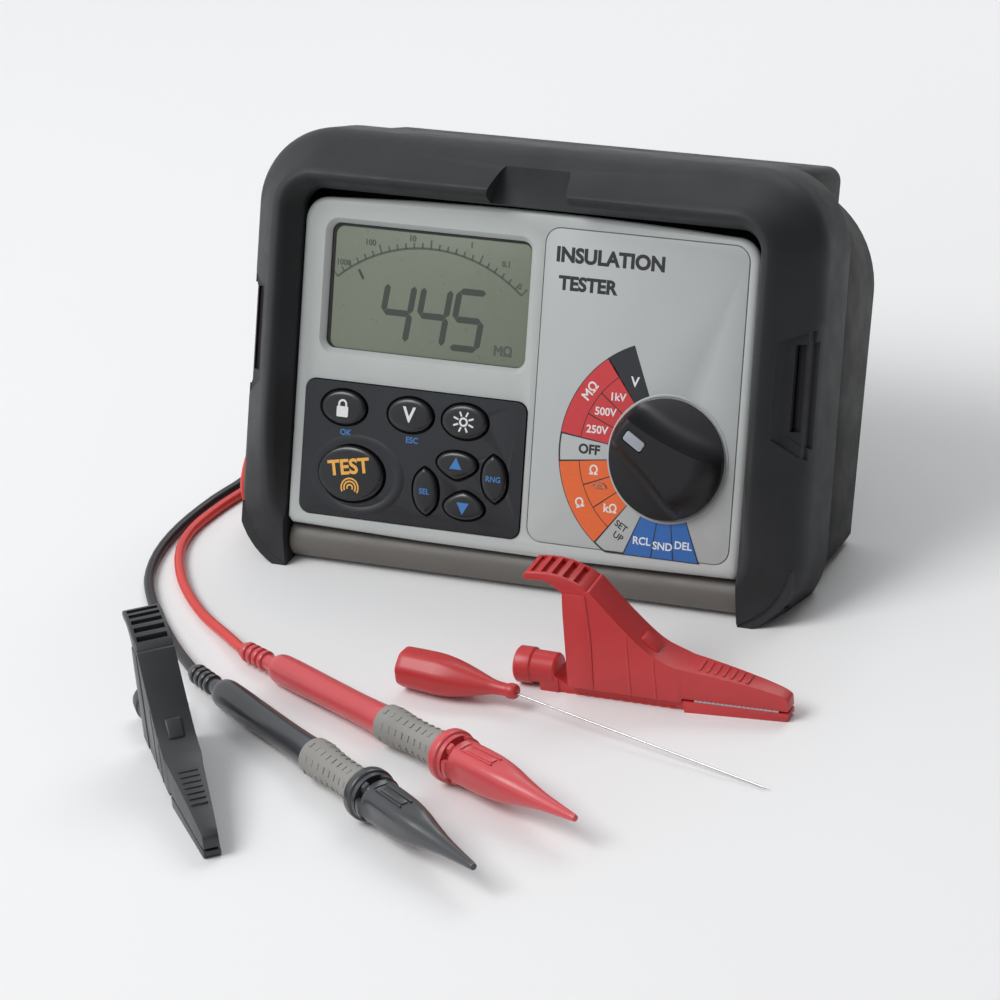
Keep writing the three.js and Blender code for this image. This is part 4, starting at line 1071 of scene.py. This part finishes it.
def make_probe(name):
    matrix = probe_matrix(name)
    material = HANDLES[name]
    ribs = []
    for i in range(4):
        x = 1.2 + i * 3.0
        ribs += [(x, 2.5), (x + 0.3, 3.1), (x + 0.8, 3.35), (x + 1.7, 3.4), (x + 2.1, 3.2), (x + 2.4, 2.5)]
    relief = [(0, 0), (0, 2.6), (0.8, 2.8), *ribs, (13.8, 2.6), (17.3, 2.8), (17.3, 0)]
    piece(f"{name}_strain_relief", lathe(relief, matrix), material, "tester", (), 40)
    barrel = smooth_stations([(17.4, 3.2), (18.4, 4.2), (20.2, 4.8), (26, 5), (45, 4.85), (62, 4.8),
                              (72, 5.05), (75.4, 5.3)])
    flange = smooth_stations([(105.6, 6), (106, 7.3), (106.9, 8.35), (108.6, 8.6), (110, 8.45),
                              (110.5, 7.8)])
    stations = [(17.3, 0), *barrel, (75.6, 4.3), (104.8, 4.3), (104.8, 5.5), *flange, (GUARD - 0.1, 7.6),
                (GUARD, 5.2), (118, 4.6), (118, 0)]
    handle = lathe(stations, matrix, 64)
    piece(f"{name}_probe_body", handle, material, "tester", [f"{name}_probe_handle"], 45)

    cap_at = placed(matrix, (GUARD + 0.4, 0, 0))
    taper = smooth_stations([(2.4, 7.0), (9, 7.05), (17, 6.8), (24, 5.9), (31, 4.4), (38, 3.1), (46, 2.1),
                             (CAP_LENGTH - 1.2, 1.25)])
    shell = [(7.0, 0), (7.0, 5.4), (0, 6.3), (0, 7.4), (0.3, 7.7), (1.8, 7.7), (2.1, 7.3), *taper,
             (CAP_LENGTH - 0.3, 1.0), (CAP_LENGTH, 0)]
    cap = lathe(shell, cap_at, 64, cap_section)
    slots = [box((-1, -9, z - 1.8), (2.3, -4.5, z + 1.8), cap_at) for z in (-4.6, 4.6)]
    slots.append(box((-1, -2.6, 5), (2.3, 2.6, 9), cap_at))
    recess = soft_box((4.2, -2.9, 5.85), (19.5, 2.9, 9), cap_at, 0.5)
    cap = cut(cap, *slots, recess)
    piece(f"{name}_cap_shell", cap, material, f"{name}_cap", [f"{name}_probe_cap"], 40)
    rails = [soft_box((4.8, y - 0.35, 5.2), (18.9, y + 0.35, 6.35), cap_at, 0.2) for y in (-2, 2)]
    flat = soft_box((6, -1.2, 5.2), (18, 1.2, 6.15), cap_at, 0.2)
    piece(f"{name}_cap_panel", joined(*rails, flat), material, f"{name}_cap")

    sleeve = smooth_stations([(76.3, 6.1), (80, 6.25), (86, 5.75), (93, 5.4), (99, 5.6), (104, 5.95)])
    sleeve = [(75.9, 4.7), (75.9, 5.7), *sleeve, (104.5, 5.7), (104.5, 4.7), (75.9, 4.7)]
    marks = []
    for row in range(8):
        turn = matrix @ Matrix.Rotation(2 * math.pi * row / 8 + 0.3, 4, "X")
        for i in range(8):
            x = 78.4 + i * 3.1 + (row % 2) * 1.4
            radius = 5.4 + 0.8 * min(((x - 93) / 15) ** 2, 1)
            marks.append(box((x, -0.95, radius - 0.5), (x + 1.0, 0.95, radius + 0.3), turn))
    grip = joined(lathe(sleeve, matrix, 64), *marks)
    piece(f"{name}_grip", grip, SLEEVE, "tester", [f"{name}_probe_sleeve"], 45)


# ---------- crocodile clips ----------

CLIPS = {"red": ((27, -73), 0.0), "black": ((-79.9, -124.2), -51.0)}
CLIP_PIVOT = (40, 11.2)
CLIP_HALF = 6.0


def clip_teeth(matrix):
    """A strip of sheet with a toothed edge along each side of the jaw."""
    strips = []
    for side in (-1, 1):
        faces = []
        for inside in (0.0, 0.5):
            tops = []
            for i in range(40):
                px = 61 + i * 0.7
                out = side * (5.15 - 0.085 * (px - 60) - inside)
                tops.append((px, out, 4.5 - 0.036 * (px - 58) + 0.75 * (i % 2)))
            feet = [(px, py, pz - 2.1) for px, py, pz in (tops[-1], tops[0])]
            faces.append([*tops, *feet])
        strips.append(from_loops(faces, matrix))
    return joined(*strips)


def make_clip(name):
    at, turn = CLIPS[name]
    matrix = placed(FLOOR, (*at, 0), turn)
    material = SOLIDS[name]

    def block(low, high):
        return box(low, high, matrix)

    def profile(points, radii, half=CLIP_HALF):
        return slab(filleted(points, radii), -half, half, matrix)

    def within(mesh, *half_widths):
        """The mesh inside a plan outline given as [x, half width]."""
        sides = [[(px, side * half) for px, half in half_widths] for side in (-1, 1)]
        return combine(mesh, [floor_plan(sides[0] + sides[1][::-1], -5, 60, matrix)], "INTERSECT")

    def disc(radius, low, high):
        return slab(arc(*CLIP_PIVOT, radius, 0, 345, 23), low, high, matrix)

    strip = profile([(8, 0), (90.5, 0), (91.4, 1.2), (91.4, 2.8), (57.8, 4), (56, 2.6), (17, 2.6),
                     (13, 6.5), (8, 6.5)], [0.5, 0.8, 0.3, 0.3, 0.5, 0.5, 3, 0.5, 1])
    strip = within(strip, (-5, 4.6), (14.4, 4.6), (20, 7), (56, 7), (57.6, 5.6), (91.6, 2.7))
    tail_at = placed(matrix, (0, 0, 5.95))
    rings = [(-0.8, 0), (-0.8, 5.3), (-0.2, 5.9), (4.6, 5.9), (5.2, 5.3), (12.6, 5.2), (13.4, 4.6),
             (13.4, 0)]
    base = fuse(strip, lathe(rings, tail_at, 40))
    lugs = [fuse(disc(4.3, low, high), block((35.7, low, 2), (44.3, high, 11.2)))
            for low, high in ((-3.4, -1.6), (1.6, 3.4))]
    grooves = [block((14.4, y0, -1), (57.6, y0 + 4, 9)) for y0 in (4.1, -8.1)]
    bore = lathe([(-2, 0), (-2, 2.2), (11, 2.2), (11, 0)], tail_at, 24)
    base = rounded(fuse(cut(base, *grooves, bore), *lugs), 0.3, 2, 35)
    serrations = [block((17 + i * 3.2, -4.3, -0.02), (18.6 + i * 3.2, 4.3, 0.9)) for i in range(12)]
    base = joined(base, *serrations)
    piece(f"{name}_clip_body", base, material, f"{name}_clip", [f"{name}_clip_base"], 40)

    arm = profile([(18.4, 3.6), (57, 3.6), (57, 4.9), (91.3, 3.5), (91.9, 4.6), (92, 7.4), (89.5, 9),
                   (84, 10.6), (74.7, 12.6), (63, 14.6), (56.6, 15.4), (48.5, 18.6), (43.4, 23),
                   (37, 29.6), (28.6, 39.4), (19.4, 38.4), (18.9, 31)],
                  [0.8, 0.3, 0.2, 0.3, 0.4, 1.2, 1.5, 8, 12, 10, 8, 6, 6, 10, 0.5, 1, 2])
    arm = rounded(within(arm, (-5, 7), (50, 7), (58, 5.5), (91.6, 2.5)), 0.7, 3, 40)
    trough = block((14, -4.4, -1), (57.6, 4.4, 6.9))
    mid = block((34, -3.7, 5), (46, 3.7, 11.2))
    arm = cut(arm, trough, mid, disc(5.6, -3.7, -1.3), disc(5.6, 1.3, 3.7))
    pad = profile([(6.1, 41.7), (7.2, 43.6), (13.7, 44.2), (18.7, 43.6), (23, 42.2), (26.3, 40.8),
                   (28.7, 38.6), (24.2, 34.6), (19.4, 37), (17, 39.4), (13.2, 41.2), (7.2, 40.7)],
                  [0.8, 1, 4, 4, 4, 3, 2, 1, 3, 3, 2, 0.8])
    pad = rounded(pad, 0.6, 3, 40)
    slots = [block((8.8 + i * 3.6, -4.9, 42.8 - 0.16 * i * i), (10.8 + i * 3.6, 4.9, 60))
             for i in range(5)]
    arm = cut(fuse(arm, pad), *slots)
    band = profile([(18.9, 3.8), (27.4, 3.8), (28, 22), (27.4, 38), (20, 37.6), (19.2, 30)],
                   [0.8, 0.8, 4, 1, 1, 2], CLIP_HALF + 0.35)
    spine = [soft_box((px, -6.2, 3.8), (px + 0.9, 6.2, top), matrix, 0.25)
             for px, top in ((39.4, 25), (48, 17.6))]
    steps = []
    for i in range(7):
        low = (62 + i * 2.6, -3.2 + 0.09 * i, 12.5 - 0.37 * i)
        high = (63.2 + i * 2.6, 3.2 - 0.09 * i, 15.0 - 0.43 * i)
        steps.append(soft_box(low, high, matrix, 0.3))
    boss = soft_box((-3.4, -2.6, -2), (3.4, 2.6, 0.9), placed(matrix, (46.2, 0, 20.6), 40.8, "Y"), 0.6, 3)
    trim = cut(joined(rounded(band, 0.3, 2, 40), *spine), block((0, -4.6, -1), (60, 4.6, 60)))
    whole = joined(arm, trim, *steps, boss)
    piece(f"{name}_clip_grip", whole, material, f"{name}_jaw", [f"{name}_clip_lever"], 40)
    piece(f"{name}_clip_teeth", clip_teeth(matrix), STEEL, f"{name}_clip")


def make_spare():
    matrix = placed(FLOOR, (-7.8, -85.9, 6.95), -7.7)

    def faceted(x, y, z):
        """Eight flats at the big end, round at the nozzle."""
        radius, angle = math.hypot(y, z), math.atan2(z, y)
        wedge = (angle + math.pi / 8) % (math.pi / 4) - math.pi / 8
        flat = math.cos(math.pi / 8) / math.cos(wedge) / 0.96
        keep = max(0.0, min((25 - x) / 10, 1.0))
        scale = 1 + (min(flat, 1.0) - 1) * keep
        return x, radius * scale * math.cos(angle), radius * scale * math.sin(angle)

    body = smooth_stations([(0.4, 6.6), (8, 6.85), (14, 6.85), (19, 6.2), (25, 4.7), (30, 3.3), (33, 2.5),
                            (36, 2.15), (38.4, 2.1)])
    stations = [(10, 0), (9, 4.4), (0, 5.4), (0, 6.4), *body, (38.7, 2.4), (39.6, 2.6), (41, 2.5),
                (41.7, 2.1), (42, 1.3), (42, 0)]
    piece("spare_cap_shell", lathe(stations, matrix, 64, faceted), RED, "spare",
          ["spare_probe_cap"], 30)
    start, end = Vector((30, -91, 6.8)), Vector((126.6, -114.7, 0.6))
    turn = Vector((1, 0, 0)).rotation_difference(end - start)
    along = FLOOR @ Matrix.Translation(start) @ turn.to_matrix().to_4x4()
    reach = (end - start).length
    wire = lathe([(0, 0), (0, 0.32), (reach - 3, 0.32), (reach, 0.08), (reach, 0)], along, 16)
    piece("spare_wire", wire, STEEL, "spare", ["spare_needle"], 40)


# ---------- nodes kept as they are ----------

BOARD = moulded("board_green", rgb(24, 92, 52), 0.35, 0.01, 900, 0.08, 0.3)
SWITCH = moulded("switch_blue", rgb(46, 74, 138), 0.5, 0.01, 900, 0.05)
IVORY = moulded("shaft_ivory", rgb(216, 212, 200), 0.45, 0.01, 900, 0.03)
CAN = metal("battery_can", rgb(84, 112, 158), 0.35, 60)
MAT = moulded("mat_rubber", rgb(80, 80, 84), 0.7, 0.02, 900, 0.06)
KEPT = {
    "main_board": BOARD, "rotary_switch": SWITCH, "selector_shaft": IVORY, "keypad_mat": MAT,
    "lcd_module": LCD_FAINT, "socket_block": BLACK_RUBBER_AND_SHADE, "hinge_pin_left": STEEL, "hinge_pin_right": STEEL,
    "red_probe_tip": STEEL, "black_probe_tip": STEEL,
    "red_clip_pin": RED, "black_clip_pin": BLACK,
    **{f"battery_{i}": CAN for i in range(1, 5)}, **{f"case_screw_{i}": STEEL for i in range(1, 5)},
}


def dress_kept_nodes():
    for node, material in KEPT.items():
        slots = bpy.data.objects[node].material_slots
        for slot in slots:
            slot.material = material


make_front_frame()
make_lid()
make_rear()
make_panel()
make_display()
make_dial_print()
make_knob()
make_keypad()
make_key_marks()
for color in ("red", "black"):
    make_probe(color)
    make_clip(color)
make_spare()
make_leads()
dress_kept_nodes()


# ---------- light and floor ----------

# The world's strength from the left of the scene to the right.
WORLD_STRENGTH = (0.85, 0.05)


def area_light(name, at, towards, size, power, color=(1, 1, 1)):
    data = bpy.data.lights.new(name, "AREA")
    data.size = size
    data.energy = power
    data.color = color
    light = link(name, data)
    direction = Vector(towards) - Vector(at)
    light.matrix_world = Matrix.Translation(at) @ direction.to_track_quat("-Z", "Y").to_matrix().to_4x4()


def make_studio():
    area_light("key", (-1.0, -0.9, 1.7), (0, 0, 0.05), 1.1, 26)
    area_light("fill", (1.6, -1.2, 0.8), (0, 0, 0.05), 1.4, 0.4)
    area_light("rim", (0.1, 1.3, 1.5), (0, 0.05, 0.1), 1.2, 11)
    world = bpy.data.worlds.new("studio")
    world.use_nodes = True
    tree = world.node_tree
    background = tree.nodes["Background"]
    background.inputs["Color"].default_value = (0.95, 0.97, 1, 1)
    place = tree.nodes.new("ShaderNodeTexCoord").outputs["Generated"]
    split = add_node(tree, "SeparateXYZ", {"Vector": place}, {})
    fade = map_range(tree, split.outputs["X"], (-0.8, 0.8), WORLD_STRENGTH)
    tree.links.new(fade, background.inputs["Strength"])
    bpy.context.scene.world = world
    bpy.context.scene.view_settings.view_transform = "Standard"
    nodes = Nodes("floor_paint")
    nodes.link(nodes.blend(nodes.noise(3, 2), rgb(236, 236, 236), rgb(240, 240, 240)), "Base Color")
    nodes.set(Roughness=0.9)
    work = bmesh.new()
    bmesh.ops.create_grid(work, x_segments=8, y_segments=8, size=4)
    mesh = to_mesh(work, Matrix.Identity(4))
    mesh.materials.append(nodes.material)
    link("floor", mesh)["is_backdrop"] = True


make_studio()


def write_size():
    """Works out the CAD's box and the finished model's box; nothing is compared or written."""
    boxes = {"cad": cad_bounds, "visual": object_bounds()}
    plain = {key: [[float(v) for v in corner] for corner in value] for key, value in boxes.items()}


write_size()
